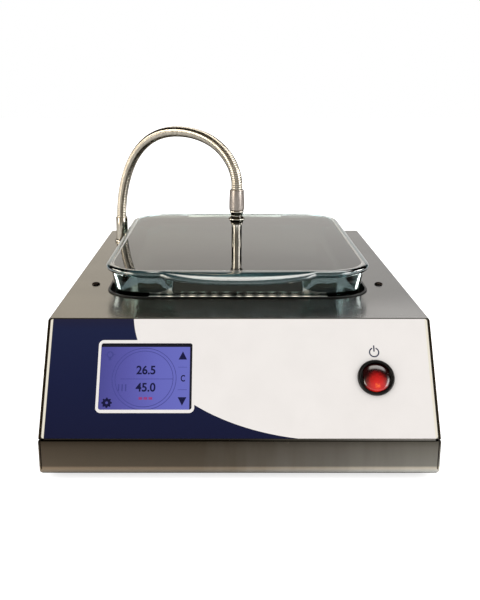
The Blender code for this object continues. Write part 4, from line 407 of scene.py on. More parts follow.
def tinted_glass(body_colour):
    """Pressed soda glass: clear across a wall, blue-green where light runs along it, dull at the sides, its
    upper rim hazy with a painted reflection colour.
    """
    material, add, shader, place = new_material("pressed tinted glass", 0.0)
    x, y, z = add("SeparateXYZ", place)
    aside = add("Math ABSOLUTE", x)
    upper = (z, DISH_HIGH.z - 7 * MM, DISH_HIGH.z - 4 * MM)
    side = mask(add, (aside, 94.5 * MM, 95.5 * MM), upper)
    near = mask(add, (y, DISH_LOW.y + 18.5 * MM, DISH_LOW.y + 17.5 * MM), upper)
    far = mask(add, (y, DISH_HIGH.y - 18.5 * MM, DISH_HIGH.y - 17.5 * MM), upper)
    dull = add("Math MAXIMUM", side, far)
    rim = add("Math MAXIMUM", dull, near)
    # Painted reflection in the rim's haze: dark teal at the front, paler along the sides, grey at the far end
    along = add("MapRange", y, DISH_LOW.y, DISH_HIGH.y)
    stops = [(0.0, "5C8286"), (0.07, "4E7074"), (0.2, "6C9094"), (0.6, "86A2A4"), (0.9, "98948E")]
    edge = add("ValToRGB", along, stops=stops)
    tint_and_painted_rim = add("Mix RGBA", Factor=rim, A=paint("F0FCFC"), B=edge)
    wave = grain(add, place, (25 * MM, 25 * MM, 12 * MM), 1.0)
    bump = add("Bump", Height=wave, Strength=0.3, Distance=0.1 * MM)
    coat = add("Math SUBTRACT", 1.0, dull)
    clear = add("Math MULTIPLY_ADD", rim, -0.28, 1.0)
    feed(shader, Base_Color=tint_and_painted_rim, Normal=bump, IOR=1.5, Transmission_Weight=clear)
    feed(shader, Coat_Weight=coat, Coat_IOR=1.65, Coat_Roughness=0.0)
    body = add("VolumeAbsorption", Color=(*body_colour, 1.0), Density=60.0)
    feed(material.node_tree.nodes["Material Output"], Volume=body)
    return material


def still_water(depth_colour):
    """Still water: clear, with a mirror-like surface that a faint ripple keeps from being perfect."""
    material, add, shader, place = new_material("still water", 0.0)
    bump = add("Bump", Height=grain(add, place, 30 * MM, 1.0), Strength=0.1, Distance=0.1 * MM)
    feed(shader, Base_Color=paint("FDFFFF"), Transmission_Weight=1.0, IOR=1.333, Normal=bump)
    depth = add("VolumeAbsorption", Color=(*depth_colour, 1.0), Density=22.0)
    feed(material.node_tree.nodes["Material Output"], Volume=depth)
    return material


def white_diode():
    """Phosphor under a clear lens: warm specks in a white glow, which reflections leave out."""
    material, add, shader, place = new_material("white light-emitting diode", 0.3)
    colour, _ = mottle(add, place, ("FFF4D8", "FFFFFF"), 0.5 * MM)
    mirrored = add("LightPath")["Is Glossy Ray"]
    strength = add("Math MULTIPLY_ADD", mirrored, -9.0, 9.0)
    feed(shader, Base_Color=colour, Emission_Color=colour, Emission_Strength=strength)
    return material


def light_board():
    """White solder mask with a painted glow along its upper edge, as if lit by the diodes, most beside each of
    them.
    """
    material, add, shader, place = new_material("white solder mask", 0.5)
    x, _, z = add("SeparateXYZ", place)
    aside = add("Math ABSOLUTE", x)
    # Painted light: the board is no lamp, yet its upper edge glows in patches, most beside each diode
    wave = add("Math COSINE", add("Math MULTIPLY", x, math.tau / LED_PITCH))
    glow = add("MapRange", wave, -1.0, 1.0, 0.1, 1.9)
    patches = (grain(add, place, 9 * MM), 0.35, 0.55)
    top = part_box("led_strip")[1].z
    lit = mask(add, patches, (aside, 60 * MM, 56 * MM), (z, top - 0.4 * MM, top - 0.2 * MM))
    strength = add("Math MULTIPLY", glow, lit)
    colour, _ = mottle(add, place, ("B9BDB4", "D8DAD2"), 0.4 * MM)
    feed(shader, Base_Color=colour, Emission_Color=paint("FFF6E0"), Emission_Strength=strength)
    return material


# Meshes
def add_object(name, data):
    """Adds an object to the scene."""
    made = bpy.data.objects.new(name, data)
    bpy.context.scene.collection.objects.link(made)
    return made


def place_mesh(name, bm, material, sharp=40.0):
    """Makes an object from a mesh that is in its place, and shades it smooth up to an angle in degrees."""
    mesh = bpy.data.meshes.new(name)
    bm.to_mesh(mesh)
    bm.free()
    mesh.shade_smooth()
    mesh.set_sharp_from_angle(angle=math.radians(sharp))
    mesh.materials.append(material)
    return add_object(name, mesh)


def keep(name, bm, material, body, sharp=40.0):
    """Makes a finished piece and ties it to a body and a finish; one with no body is left unattached."""
    piece = place_mesh(name, bm, material, sharp)
    if body:
        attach(piece, body)
    return piece


def solid_from(curve):
    """Turns a text or a thick curve into a mesh, and removes it."""
    carrier = add_object(curve.name, curve)
    bpy.context.view_layer.update()
    solid = carrier.evaluated_get(bpy.context.evaluated_depsgraph_get())
    mesh = bpy.data.meshes.new_from_object(solid)
    bpy.data.objects.remove(carrier)
    bpy.data.curves.remove(curve)
    return mesh


def corner_arc(radius, height, size, start, end, steps):
    """Points of (radius, height) on a small arc, angles in degrees."""
    angles = [math.radians(start + (end - start) * i / steps) for i in range(steps + 1)]
    return [(radius + size * math.cos(a), height + size * math.sin(a)) for a in angles]


def spin_profile(bm, points, steps):
    """Turns an open or closed run of points about Z, and merges what meets."""
    edges = [bm.edges.new(pair) for pair in zip(points, points[1:])]
    geom = list(dict.fromkeys(points)) + edges
    bmesh.ops.spin(
        bm, geom=geom, cent=(0, 0, 0), axis=(0, 0, 1), angle=math.tau, steps=steps, use_merge=True
    )
    bmesh.ops.remove_doubles(bm, verts=bm.verts, dist=WELD)


def spun(profile, steps, closed=False):
    """Turns a profile of (radius, height) about Z."""
    bm = bmesh.new()
    points = [bm.verts.new((radius, 0.0, height)) for radius, height in profile]
    spin_profile(bm, points + points[:1] if closed else points, steps)
    bmesh.ops.recalc_face_normals(bm, faces=bm.faces)
    return bm


def rounded_bowl(profile, half_x, half_y, corner, steps):
    """A rounded rectangle's shell from a profile of (inset, height): one corner's turned part, drawn apart."""
    bm = bmesh.new()
    half_step = math.tau / (4 * steps) / 2
    points = [bm.verts.new((corner - inset, 0.0, height)) for inset, height in profile]
    bmesh.ops.rotate(bm, matrix=Matrix.Rotation(half_step, 3, "Z"), cent=(0, 0, 0), verts=points)
    spin_profile(bm, points, 4 * steps)
    for side_x in (-1, 1):
        for side_y in (-1, 1):
            part = [v for v in bm.verts if v.co.x * side_x > 0 and v.co.y * side_y > 0]
            apart = (side_x * (half_x - corner), side_y * (half_y - corner), 0.0)
            bmesh.ops.translate(bm, vec=apart, verts=part)
    bmesh.ops.holes_fill(bm, edges=[e for e in bm.edges if e.is_boundary], sides=0)
    bmesh.ops.recalc_face_normals(bm, faces=bm.faces)
    return bm


def rounded_loop(bm, half_x, half_y, corner, middle, steps=6):
    """Adds a rounded rectangle's closed outline to a mesh."""
    points = []
    for turn, (side_x, side_y) in enumerate(((1, 1), (-1, 1), (-1, -1), (1, -1))):
        centre = middle + Vector((side_x * (half_x - corner), side_y * (half_y - corner), 0.0))
        for i in range(steps + 1):
            angle = math.pi / 2 * (turn + i / steps)
            points.append(bm.verts.new(centre + Vector((math.cos(angle), math.sin(angle), 0.0)) * corner))
    for pair in zip(points, points[1:] + points[:1]):
        if (pair[0].co - pair[1].co).length > WELD:
            bm.edges.new(pair)
    bmesh.ops.remove_doubles(bm, verts=points, dist=WELD)


def thicken(bm, faces, thick):
    """Raises flat faces into a plate."""
    grown = bmesh.ops.extrude_face_region(bm, geom=faces)["geom"]
    top = [g for g in grown if isinstance(g, bmesh.types.BMVert)]
    bmesh.ops.translate(bm, vec=(0.0, 0.0, thick), verts=top)


def slab(bm, size, centre):
    """Adds a box to a mesh."""
    made = bmesh.ops.create_cube(bm, size=1.0)["verts"]
    bmesh.ops.scale(bm, vec=size, verts=made)
    bmesh.ops.translate(bm, vec=centre, verts=made)
    return made


def flat_ring(bm, radius, width, thick, centre, steps):
    """Adds a flat ring in X and Y to a mesh."""
    outer = bmesh.ops.create_circle(bm, segments=steps, radius=radius)["verts"]
    inner = bmesh.ops.create_circle(bm, segments=steps, radius=radius - width)["verts"]
    bmesh.ops.translate(bm, vec=centre, verts=outer + inner)
    edges = [e for e in bm.edges if any(all(v in loop for v in e.verts) for loop in (outer, inner))]
    thicken(bm, bmesh.ops.bridge_loops(bm, edges=edges)["faces"], thick)


def arrow(bm, x, y, up, thick):
    """Adds a triangle that points up or down the slope, with up 1 or -1."""
    half, foot, tip = 2.8 * MM, 2.6 * MM, 3.0 * MM
    corners = ((x - half, y - up * foot), (x + half, y - up * foot), (x, y + up * tip))
    face = bm.faces.new([bm.verts.new((*corner, 0.0)) for corner in corners])
    thicken(bm, [face], thick)


def figures(bm, text, height, narrow, spot, thick):
    """Adds plain figures to a mesh, centred on a spot."""
    curve = bpy.data.curves.new("figures", "FONT")
    curve.body = text
    curve.size = height / 0.7  # the figures are seven tenths of a line high
    curve.align_x = "CENTER"
    curve.align_y = "CENTER"
    curve.extrude = thick / 2
    curve.offset = height * 0.035
    mesh = solid_from(curve)
    mesh.transform(Matrix.Translation((*spot, thick / 2)) @ Matrix.Diagonal((narrow, 1.0, 1.0, 1.0)))
    bm.from_mesh(mesh)
    bpy.data.meshes.remove(mesh)


def onto_slope(bm, middle):
    """Lays a mesh drawn in X and Y, Z outwards, on the sloped front about a point."""
    lie = Matrix.Translation(middle) @ Matrix.Rotation(SLOPE_TURN, 4, "X")
    bmesh.ops.transform(bm, matrix=lie, verts=bm.verts)
    return bm


# Stage
def studio_world(backdrop):
    """White to the eye; in reflections and through the glass, a dim room with its bright surfaces."""
    world = bpy.data.worlds.new("studio")
    world.use_nodes = True
    world.node_tree.nodes.clear()
    add = partial(add_node, world.node_tree)
    path = add("LightPath")
    x, y, z = add("SeparateXYZ", add("TexCoord")["Generated"])
    aside = add("Math ABSOLUTE", x)
    # Each surface's edges, by the direction in which it is seen
    behind = mask(add, (y, 0.84, 0.90), (z, 0.54, 0.44))
    through_glass = mask(add, (y, 0.1, 0.4), (path["Is Transmission Ray"], 0.0, 1.0))
    box = mask(add, (aside, 0.62, 0.74), (aside, 0.985, 0.95), (y, -0.02, -0.14))
    tube = mask(add, (aside, 0.71, 0.77), (aside, 0.94, 0.90), (y, -0.14, -0.24))
    window = mask(add, (z, 0.20, 0.28), (z, 0.55, 0.47), (aside, 0.80, 0.84), (y, -0.10, -0.02))
    spot = mask(add, (z, 0.68, 0.80), (y, 0.0, 0.08), (x, -0.20, -0.10), (x, 0.62, 0.50))
    fill = mask(add, (z, -0.15, 0.20), (z, 0.93, 0.55), (y, -0.20, -0.45))
    bright = add("Math MULTIPLY", fill, 0.5)
    for surface in (behind, through_glass, box, window, spot):
        bright = add("Math MAXIMUM", bright, surface)

    wall = mask(add, (y, -0.20, -0.45))
    dim = add("Mix RGBA", Factor=wall, A=paint("15120F"), B=paint("6E6553"))
    right = mask(add, (x, -0.5, 0.5))
    warm = add("ValToRGB", right, stops=[(0.0, "FFF6E8"), (1.0, "FFFDFB")])
    room = add("Mix RGBA", Factor=bright, A=dim, B=warm)
    mirrored = add("Math MAXIMUM", path["Is Glossy Ray"], path["Is Transmission Ray"])
    colour = add("Mix RGBA", Factor=mirrored, A=(*backdrop, 1.0), B=room)
    lamps = 0.0
    for surface, power in ((tube, 6.0), (spot, 3.5), (window, 9.0)):
        lamps = add("Math MULTIPLY_ADD", surface, power, lamps)
    seen = add("Math MAXIMUM", mirrored, path["Is Camera Ray"])
    level = add("Math MULTIPLY_ADD", lamps, mirrored, add("Math MULTIPLY_ADD", seen, 0.10, 0.90))
    add("OutputWorld", add("Background", colour, level), is_active_output=True)
    return world


def white_floor(backdrop):
    """Matt white floor: it glows as the backdrop does, but not under the bath, and keeps the bath's shadow."""
    material, add, shader, place = new_material("white floor", 0.9)
    pale = add("Mix RGBA", Factor=grain(add, place, 0.5), A=paint("FAFAFA"), B=(*backdrop, 1.0))
    feed(shader, Base_Color=pale, Specular_IOR_Level=0.0)
    path = add("LightPath")
    shown = add("Math MAXIMUM", path["Is Camera Ray"], path["Is Transmission Ray"])
    x, y, _ = add("SeparateXYZ", place)
    aside = add("Math ABSOLUTE", x)
    along = add("Math ABSOLUTE", add("Math SUBTRACT", y, FRONT_Y + 184 * MM))
    clear = add("Math MAXIMUM", mask(add, (aside, 110 * MM, 120 * MM)), mask(add, (along, 165 * MM, 175 * MM)))
    shown = add("Math MULTIPLY", shown, clear)
    glow = add("Emission", Strength=add("Math MULTIPLY", shown, 0.7))
    feed(material.node_tree.nodes["Material Output"], add("AddShader", shader.outputs["BSDF"], glow))
    return material


def white_reflector():
    """Lit white card: it shines from its front and is clear from behind."""
    material = bpy.data.materials.new("white reflector")
    material.use_nodes = True
    nodes = material.node_tree.nodes
    nodes.remove(nodes["Principled BSDF"])
    add = partial(add_node, material.node_tree)
    rear = add("NewGeometry")["Backfacing"]
    shine = add("Emission", paint("F4FFFC"), 7.0)
    card = add("MixShader", rear, shine, add("BsdfTransparent"))
    feed(nodes["Material Output"], card)
    return material


class BATH_OT_stage(bpy.types.Operator):
    """White floor and backdrop, soft lamps, and the camera at the photograph's angle"""

    bl_idname = "bath.stage"
    bl_label = "Stage"

    def execute(self, context):
        scene = context.scene
        backdrop = scene.bath_colours.backdrop
        scene.view_settings.view_transform = "Standard"
        scene.world = studio_world(backdrop)
        bm = bmesh.new()
        bmesh.ops.create_grid(bm, x_segments=1, y_segments=1, size=4.0)
        place_mesh("floor", bm, white_floor(backdrop))

        # Two cards beside the dish's front corners make the white streaks there, and only reflections show them
        width, height = 7 * MM, 13 * MM
        bm = bmesh.new()
        for side in (-1, 1):
            facing = Vector((-side * 0.9, 0.436, 0.0)).to_track_quat("Z", "Y").to_matrix().to_4x4()
            middle = Vector((side * 93.4 * MM, DISH_CENTRE.y - 104.25 * MM, PLATE_TOP + 5.5 * MM))
            made = bmesh.ops.create_grid(bm, x_segments=1, y_segments=1, size=0.5)["verts"]
            bmesh.ops.scale(bm, vec=(width, height, 1.0), verts=made)
            bmesh.ops.transform(bm, matrix=Matrix.Translation(middle) @ facing, verts=made)
        cards = place_mesh("reflector_cards", bm, white_reflector())
        for rays in ("camera", "diffuse", "transmission", "shadow"):
            setattr(cards, "visible_" + rays, False)

        aim = Vector((0.0, 0.0, 0.08))
        for name, spot, size, power in (
            ("left softbox", (-1.3, -0.9, 0.75), 1.0, 1.8),
            ("right softbox", (1.3, -1.0, 0.7), 0.9, 2.1),
            ("top softbox", (0.0, -0.3, 1.7), 1.1, 1.2),
        ):
            data = bpy.data.lights.new(name, "AREA")
            data.shape = "SQUARE"
            data.size = size
            data.energy = power
            lamp = add_object(name, data)
            lamp.location = spot
            lamp.rotation_euler = (aim - Vector(spot)).to_track_quat("-Z", "Y").to_euler()
            lamp.visible_transmission = False
            lamp.visible_glossy = False

        data = bpy.data.cameras.new("camera")
        data.sensor_width = 36.0
        data.lens = 50.0
        data.shift_x = 0.0218
        data.clip_start = 0.01
        camera = add_object("camera", data)
        camera.location = (-0.008, -0.6664, 0.2520)
        looking_down = math.radians(15.34)
        camera.rotation_euler = (math.pi / 2 - looking_down, 0.0, 0.0)
        scene.camera = camera
        return {"FINISHED"}


class BATH_OT_housing(bpy.types.Operator):
    """Brushed steel on the sheet-metal pieces, seen and unseen"""

    bl_idname = "bath.housing"
    bl_label = "Housing"

    def execute(self, context):
        give(cover_steel(), "top_cover")
        give(pan_steel(), "base_pan")
        # The same sheet, plainer and duller where a user seldom looks
        plain = brushed_steel("brushed stainless, inner", ("8F8C86", "A19E98"), BRUSHED)[0]
        give(plain, "rear_panel", "cover_bracket_left", "cover_bracket_right")
        # Stainless painted dark brown as shade, so that the gap round the dish stays dark
        give(brushed_steel("shade-painted stainless, tray", ("4A463F", "5E584E"), BRUSHED)[0], "well_tray")
        return {"FINISHED"}


class BATH_OT_label(bpy.types.Operator):
    """The printed film on the sloped front and a plain power mark above the switch"""

    bl_idname = "bath.label"
    bl_label = "Front label"

    def execute(self, context):
        thick, glue = 0.3 * MM, 0.3 * MM
        high = -0.9 * MM
        low = 1.8 * MM - (SLOPE_TOP - SLOPE_FOOT).length
        bm = bmesh.new()
        middle = Vector((0.0, (low + high) / 2, 0.0))
        rounded_loop(bm, HOUSING_HALF - 2 * MM, (high - low) / 2, 1.5 * MM, middle)
        window = DISPLAY_MIDDLE - SLOPE_TOP
        middle = Vector((window.x, window.dot(UPHILL), 0.0))
        rounded_loop(bm, 29.9 * MM, 22.4 * MM, 1.5 * MM, middle)
        hole = SWITCH_MIDDLE - SLOPE_TOP
        middle = Vector((hole.x, hole.dot(UPHILL), 0.0))
        rounded_loop(bm, 10.6 * MM, 10.6 * MM, 10.6 * MM, middle, 16)
        faces = bmesh.ops.triangle_fill(bm, edges=bm.edges[:], use_beauty=True)["geom"]
        thicken(bm, [f for f in faces if isinstance(f, bmesh.types.BMFace)], thick)
        bmesh.ops.recalc_face_normals(bm, faces=bm.faces)
        onto_slope(bm, SLOPE_TOP + OUTWARD * glue)
        finish = printed_film(context.scene.bath_colours.margin)
        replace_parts(keep("label_film", bm, finish, "housing"), "front_label")

        # The mark is a ring, open at its top, with a bar in the opening
        thick = 0.06 * MM
        bm = bmesh.new()
        for radius in (3.4 * MM, 2.6 * MM):
            bmesh.ops.create_circle(bm, segments=48, radius=radius)
        bmesh.ops.bridge_loops(bm, edges=bm.edges[:])
        places = [(face, face.calc_center_median()) for face in bm.faces]
        opening = [face for face, at in places if at.y > 2.2 * MM and abs(at.x) < 1.3 * MM]
        bmesh.ops.delete(bm, geom=opening, context="FACES")
        thicken(bm, bm.faces[:], thick)
        slab(bm, (0.8 * MM, 4.2 * MM, thick), (0.0, 2.6 * MM, thick / 2))
        onto_slope(bm, SWITCH_MIDDLE + UPHILL * 17.5 * MM + OUTWARD * 0.61 * MM)
        # Screen ink over the film: flat navy, a little rough
        ink = moulded("navy printing ink", ("1B2040", "22284A"), 0.4)
        keep("power_mark", bm, ink, "housing")
        return {"FINISHED"}


class BATH_OT_display(bpy.types.Operator):
    """The lit display: its field, figures, rings and keys"""

    bl_idname = "bath.display"
    bl_label = "Display"

    def execute(self, context):
        give(lit_display(), "display_panel")
        thick = 0.05 * MM
        dark = bmesh.new()
        for text, height, narrow, x, y in (
            ("26.5", 5.6, 0.93, -0.2, 4.3),
            ("45.0", 5.6, 0.93, -0.1, -7.3),
            ("C", 4.2, 0.70, 23.9, -1.2),
        ):
            figures(dark, text, height * MM, narrow, (x * MM, y * MM), thick)
        arrow(dark, 23.6 * MM, 14.4 * MM, 1, thick)
        arrow(dark, 23.6 * MM, -16.2 * MM, -1, thick)
        gear = (-24.8 * MM, -17.3 * MM, 0.0)
        flat_ring(dark, 2.7 * MM, 1.8 * MM, thick, gear, 32)
        teeth = 8
        for i in range(teeth):
            made = slab(dark, (1.1 * MM, 1.2 * MM, thick), (0.0, 2.8 * MM, thick / 2))
            turn = Matrix.Rotation(i * math.tau / teeth, 3, "Z")
            bmesh.ops.rotate(dark, cent=(0, 0, 0), matrix=turn, verts=made)
            bmesh.ops.translate(dark, vec=gear, verts=made)

        faint = bmesh.new()
        for radius in (21.0 * MM, 19.0 * MM):
            flat_ring(faint, radius, 0.4 * MM, thick, (-1.3 * MM, -1.2 * MM, 0.0), 96)
        # Bars of (width, height, x, y) in place of small words, and two lines
        bars = [(0.9, 4.6, x, -7.3) for x in (-17.6, -15.3, -13.0)]
        bars += [(34.0, 0.35, 0.4, -1.4), (6.0, 0.25, 23.6, 6.6), (6.0, 0.25, 23.6, -8.6)]
        lamp = (-24.2, 15.2)
        lamp_bars = [(1.8, 1.7, lamp[0], lamp[1] - 3.0)]
        lamp_bars += [(1.2, 0.4, lamp[0] + x, lamp[1]) for x in (-3.1, 3.1)]
        self.add_bars(faint, bars, thick)
        flat_ring(faint, 2.3 * MM, 0.8 * MM, thick, (lamp[0] * MM, lamp[1] * MM, 0.0), 32)
        self.add_bars(faint, lamp_bars, thick)

        red = bmesh.new()
        self.add_bars(red, [(2.4, 1.7, x, -14.4) for x in (-3.2, 0.0, 3.2)], thick)
        for name, bm, ink in (
            ("display_figures", dark, ("display ink, dark", "14143A", "1C1D48")),
            ("display_rings", faint, ("display ink, faint", "43448A", "4A4C94")),
            ("display_heating_bar", red, ("display ink, red", "8C3A78", "A0427C")),
        ):
            onto_slope(bm, DISPLAY_MIDDLE - OUTWARD * 1.5 * MM)
            keep(name, bm, display_ink(*ink), "housing")
        return {"FINISHED"}

    def add_bars(self, bm, bars, thick):
        """Adds flat bars of (width, height, x, y) in millimetres."""
        for width, height, x, y in bars:
            slab(bm, (width * MM, height * MM, thick), (x * MM, y * MM, thick / 2))


class BATH_OT_switch(bpy.types.Operator):
    """Round snap-in rocker switch: black bezel and lit red rocker"""

    bl_idname = "bath.switch"
    bl_label = "Power switch"

    def execute(self, context):
        # Nylon: near black, with a narrow grey shine round the bezel's edge
        nylon = moulded("moulded black nylon", ("0A0908", "121110"), 0.28)
        give(nylon, "switch_housing", "power_inlet", "thermal_cutout")
        face, low, outer = 2.9 * MM, 0.75 * MM, 11.95 * MM
        profile = [(10.0 * MM, low), (outer, low)]
        profile += corner_arc(outer - 1.0 * MM, face - 0.9 * MM, 1.0 * MM, 0, 90, 6)
        profile += corner_arc(outer - 1.5 * MM, face - 0.35 * MM, 0.45 * MM, 90, 180, 4)
        bm = onto_slope(spun(profile, 96, closed=True), SWITCH_MIDDLE)
        keep("switch_bezel", bm, nylon, "housing")

        # The rocker is a shallow dome on a skirt, cut flat at its two sides
        radius, dome, skirt, half = 9.6 * MM, 3.0 * MM, 5.6 * MM, 8.2 * MM
        angles = [math.radians(6 * i) for i in range(16)]
        outline = [(radius * math.sin(a), dome * math.cos(a)) for a in angles]
        outline += [(radius, 0.0), (math.sqrt(radius**2 - skirt**2), -skirt), (0.0, -skirt)]
        bm = spun(outline, 64)
        for side in (-1, 1):
            geom = bm.verts[:] + bm.edges[:] + bm.faces[:]
            cut = bmesh.ops.bisect_plane(
                bm, geom=geom, plane_co=(side * half, 0, 0), plane_no=(side, 0, 0), clear_outer=True
            )
            rim = [g for g in cut["geom_cut"] if isinstance(g, bmesh.types.BMEdge)]
            bmesh.ops.holes_fill(bm, edges=rim, sides=0)
        tip = Matrix.Rotation(-math.radians(8), 3, "X")
        bmesh.ops.rotate(bm, cent=(0, 0, 0), matrix=tip, verts=bm.verts)
        onto_slope(bm, SWITCH_MIDDLE + OUTWARD * 1.9 * MM)
        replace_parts(keep("switch_lens", bm, red_lens(), "rocker", 30), "switch_rocker")
        return {"FINISHED"}


class BATH_OT_well(bpy.types.Operator):
    """The well under the dish: trim, light strip, heater and insulation"""

    bl_idname = "bath.well"
    bl_label = "Well"

    def execute(self, context):
        low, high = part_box("cutout_trim")
        section = [(1.3, -1.0), (1.3, -0.55), (1.7, -0.35), (2.8, -0.35), (2.8, -3.5), (1.3, -1.0)]
        section = [(inset * MM, height * MM) for inset, height in section]
        bm = rounded_bowl(section, (high.x - low.x) / 2, (high.y - low.y) / 2, 30 * MM, 16)
        bmesh.ops.translate(bm, vec=(0.0, (low.y + high.y) / 2, high.z), verts=bm.verts)
        # Silicone: dull black that takes almost no shine
        silicone = moulded("extruded black silicone", ("0E0E0E", "1C1C1C"), 0.4)
        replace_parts(keep("trim_fine", bm, silicone, "housing"), "cutout_trim")

        give(light_board(), "led_strip")
        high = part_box("led_strip")[1]
        row, deep, down = 15, 0.3 * MM, 1.7 * MM
        bm = bmesh.new()
        for i in range(row):
            made = bmesh.ops.create_uvsphere(bm, u_segments=12, v_segments=8, radius=1.0)["verts"]
            bmesh.ops.scale(bm, vec=(1.5 * MM, 0.6 * MM, 1.2 * MM), verts=made)
            spot = ((i - row // 2) * LED_PITCH, high.y - deep, high.z - down)
            bmesh.ops.translate(bm, vec=spot, verts=made)
        keep("led_lenses", bm, white_diode(), "housing")

        # Anodised aluminium is matt black with no direction, silicone rubber flat orange, fibre a soft white
        even = 2 * MM
        plate = brushed_steel("black anodised aluminium", ("141414", "202020"), even, 0.5)[0]
        give(plate, "heater_plate")
        give(moulded("orange heater silicone", ("A0431F", "B85A2C"), 0.6), "heater_pad")
        fibre = moulded("white ceramic fibre", ("CFC9BC", "E8E4DA"), 0.95, 1.2 * MM, 0.3 * MM)
        give(fibre, "insulation_pad")
        return {"FINISHED"}


def wall_inset(height):
    """How far the dish's outer wall stands in from the rim at a height above its foot."""
    return BEAD + WALL_DRAFT * (WALL_HEIGHT - height) / WALL_HEIGHT


def dish_section(glass):
    """The dish's section as (inset, height): under the floor, up outside, over the bead, down inside."""
    under_bead = DISH_HEIGHT - BEAD_HEIGHT
    section = corner_arc(wall_inset(OUTER_HEEL) + OUTER_HEEL, OUTER_HEEL, OUTER_HEEL, 270, 180, 8)
    section += [(wall_inset(under_bead) - 0.3 * MM, under_bead - 0.6 * MM)]
    section += [(wall_inset(under_bead) - 0.9 * MM, under_bead)]
    half = BEAD_HEIGHT / 2
    for degrees in (-65, -45, -25, -5, 15, 35, 55, 75, 90):
        angle = math.radians(degrees)
        section.append((BEAD * (1 - math.cos(angle)), DISH_HEIGHT - half * (1 - math.sin(angle))))
    inner = wall_inset(DISH_HEIGHT) + glass - RIM_EASE
    section += corner_arc(inner, DISH_HEIGHT - RIM_EASE, RIM_EASE, 90, 0, 7)
    low = GLASS_FLOOR + INNER_HEEL
    return section + corner_arc(wall_inset(low) + glass + INNER_HEEL, low, INNER_HEEL, 180, 270, 8)


def water_section(glass, below_rim):
    """The water's section as (inset, height), a hair's breadth inside the glass: up the wall to the surface."""
    overlap = 0.1 * MM
    low = GLASS_FLOOR + INNER_HEEL
    section = corner_arc(wall_inset(low) + glass + INNER_HEEL, low, INNER_HEEL + overlap, 270, 180, 8)
    inner = wall_inset(DISH_HEIGHT) + glass - RIM_EASE
    brim = math.degrees(math.asin((RIM_EASE - below_rim) / (RIM_EASE - overlap)))
    return section + corner_arc(inner, DISH_HEIGHT - RIM_EASE, RIM_EASE - overlap, 0, brim, 5)


class BATH_OT_dish(bpy.types.Operator):
    """Pressed-glass dish with its two handles, and the water in it"""

    bl_idname = "bath.dish"
    bl_label = "Dish and water"

    def execute(self, context):
        sizes, colours = context.scene.bath_sizes, context.scene.bath_colours
        half_y = DISH_PLAN[1]
        bm = rounded_bowl(dish_section(sizes.glass), *DISH_PLAN)
        long_edges = []
        for edge in bm.edges:
            first, second = (vert.co for vert in edge.verts)
            if abs(first.x - second.x) > 100 * MM and abs(first.y) > 50 * MM:
                long_edges.append(edge)
        bmesh.ops.subdivide_edges(bm, edges=long_edges, cuts=47, use_grid_fill=True)

        # The handles are drawn out of the bead at both ends, and tilt down
        ramp_out = 1.5 * MM
        for vert in bm.verts:
            x, y, z = vert.co
            beyond = abs(y) - (half_y - BEAD - 0.05 * MM)
            if abs(x) < HANDLE_HALF and beyond > 0 and z > DISH_HEIGHT - BEAD_HEIGHT - 0.2 * MM:
                reach = HANDLE_DEPTH * (1 - (x / HANDLE_HALF) ** 2) ** 0.7 * min(1.0, beyond / ramp_out)
                vert.co.y += math.copysign(reach, y)
                vert.co.z -= reach * math.tan(HANDLE_TILT)
        bmesh.ops.translate(bm, vec=DISH_CENTRE, verts=bm.verts)
        bmesh.ops.recalc_face_normals(bm, faces=bm.faces)
        dish = keep("dish_glass", bm, tinted_glass(colours.glass), "dish", 60)
        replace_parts(dish, "glass_dish")

        bm = rounded_bowl(water_section(sizes.glass, sizes.water_below_rim), *DISH_PLAN)
        bmesh.ops.translate(bm, vec=DISH_CENTRE, verts=bm.verts)
        keep("bath_water", bm, still_water(colours.water), "dish", 30)
        return {"FINISHED"}


def arch_points(count):
    """The gooseneck's middle line, in its own upright plane, at even steps."""
    span = (PROBE_FOOT - GOOSENECK_FOOT).length
    along = (PROBE_FOOT - GOOSENECK_FOOT).normalized()

    def at(reach, height):
        return GOOSENECK_FOOT + along * reach + Vector((0.0, 0.0, height))

    crown = ARCH_CROWN_SHARE * span
    leg, leg_pull = (0.0, ARCH_LEG), (0.0, ARCH_LEG + PULL_UPRIGHT)
    top, back_pull, front_pull = ((crown + pull, ARCH_CROWN) for pull in (0.0, -PULL_BACK, PULL_FRONT))
    drop_pull, drop = (span, ARCH_DROP + PULL_UPRIGHT), (span, ARCH_DROP)
    route = [at(0.0, TUBE_START), at(*leg)]
    steps = 200
    for knots in ((leg, leg_pull, back_pull, top), (top, front_pull, drop_pull, drop)):
        for i in range(1, steps + 1):
            t = i / steps
            s = 1 - t
            weights = (s**3, 3 * s * s * t, 3 * s * t * t, t**3)
            route.append(at(*(sum(w * k[axis] for w, k in zip(weights, knots)) for axis in (0, 1))))
    route.append(at(span, TUBE_END))
    lengths = [(b - a).length for a, b in zip(route, route[1:])]
    total = sum(lengths)
    points = [route[0]]
    index, passed = 0, 0.0
    for step in range(1, count - 1):
        target = total * step / (count - 1)
        while passed + lengths[index] < target:
            passed += lengths[index]
            index += 1
        points.append(route[index].lerp(route[index + 1], (target - passed) / lengths[index]))
    return points + [route[-1]]


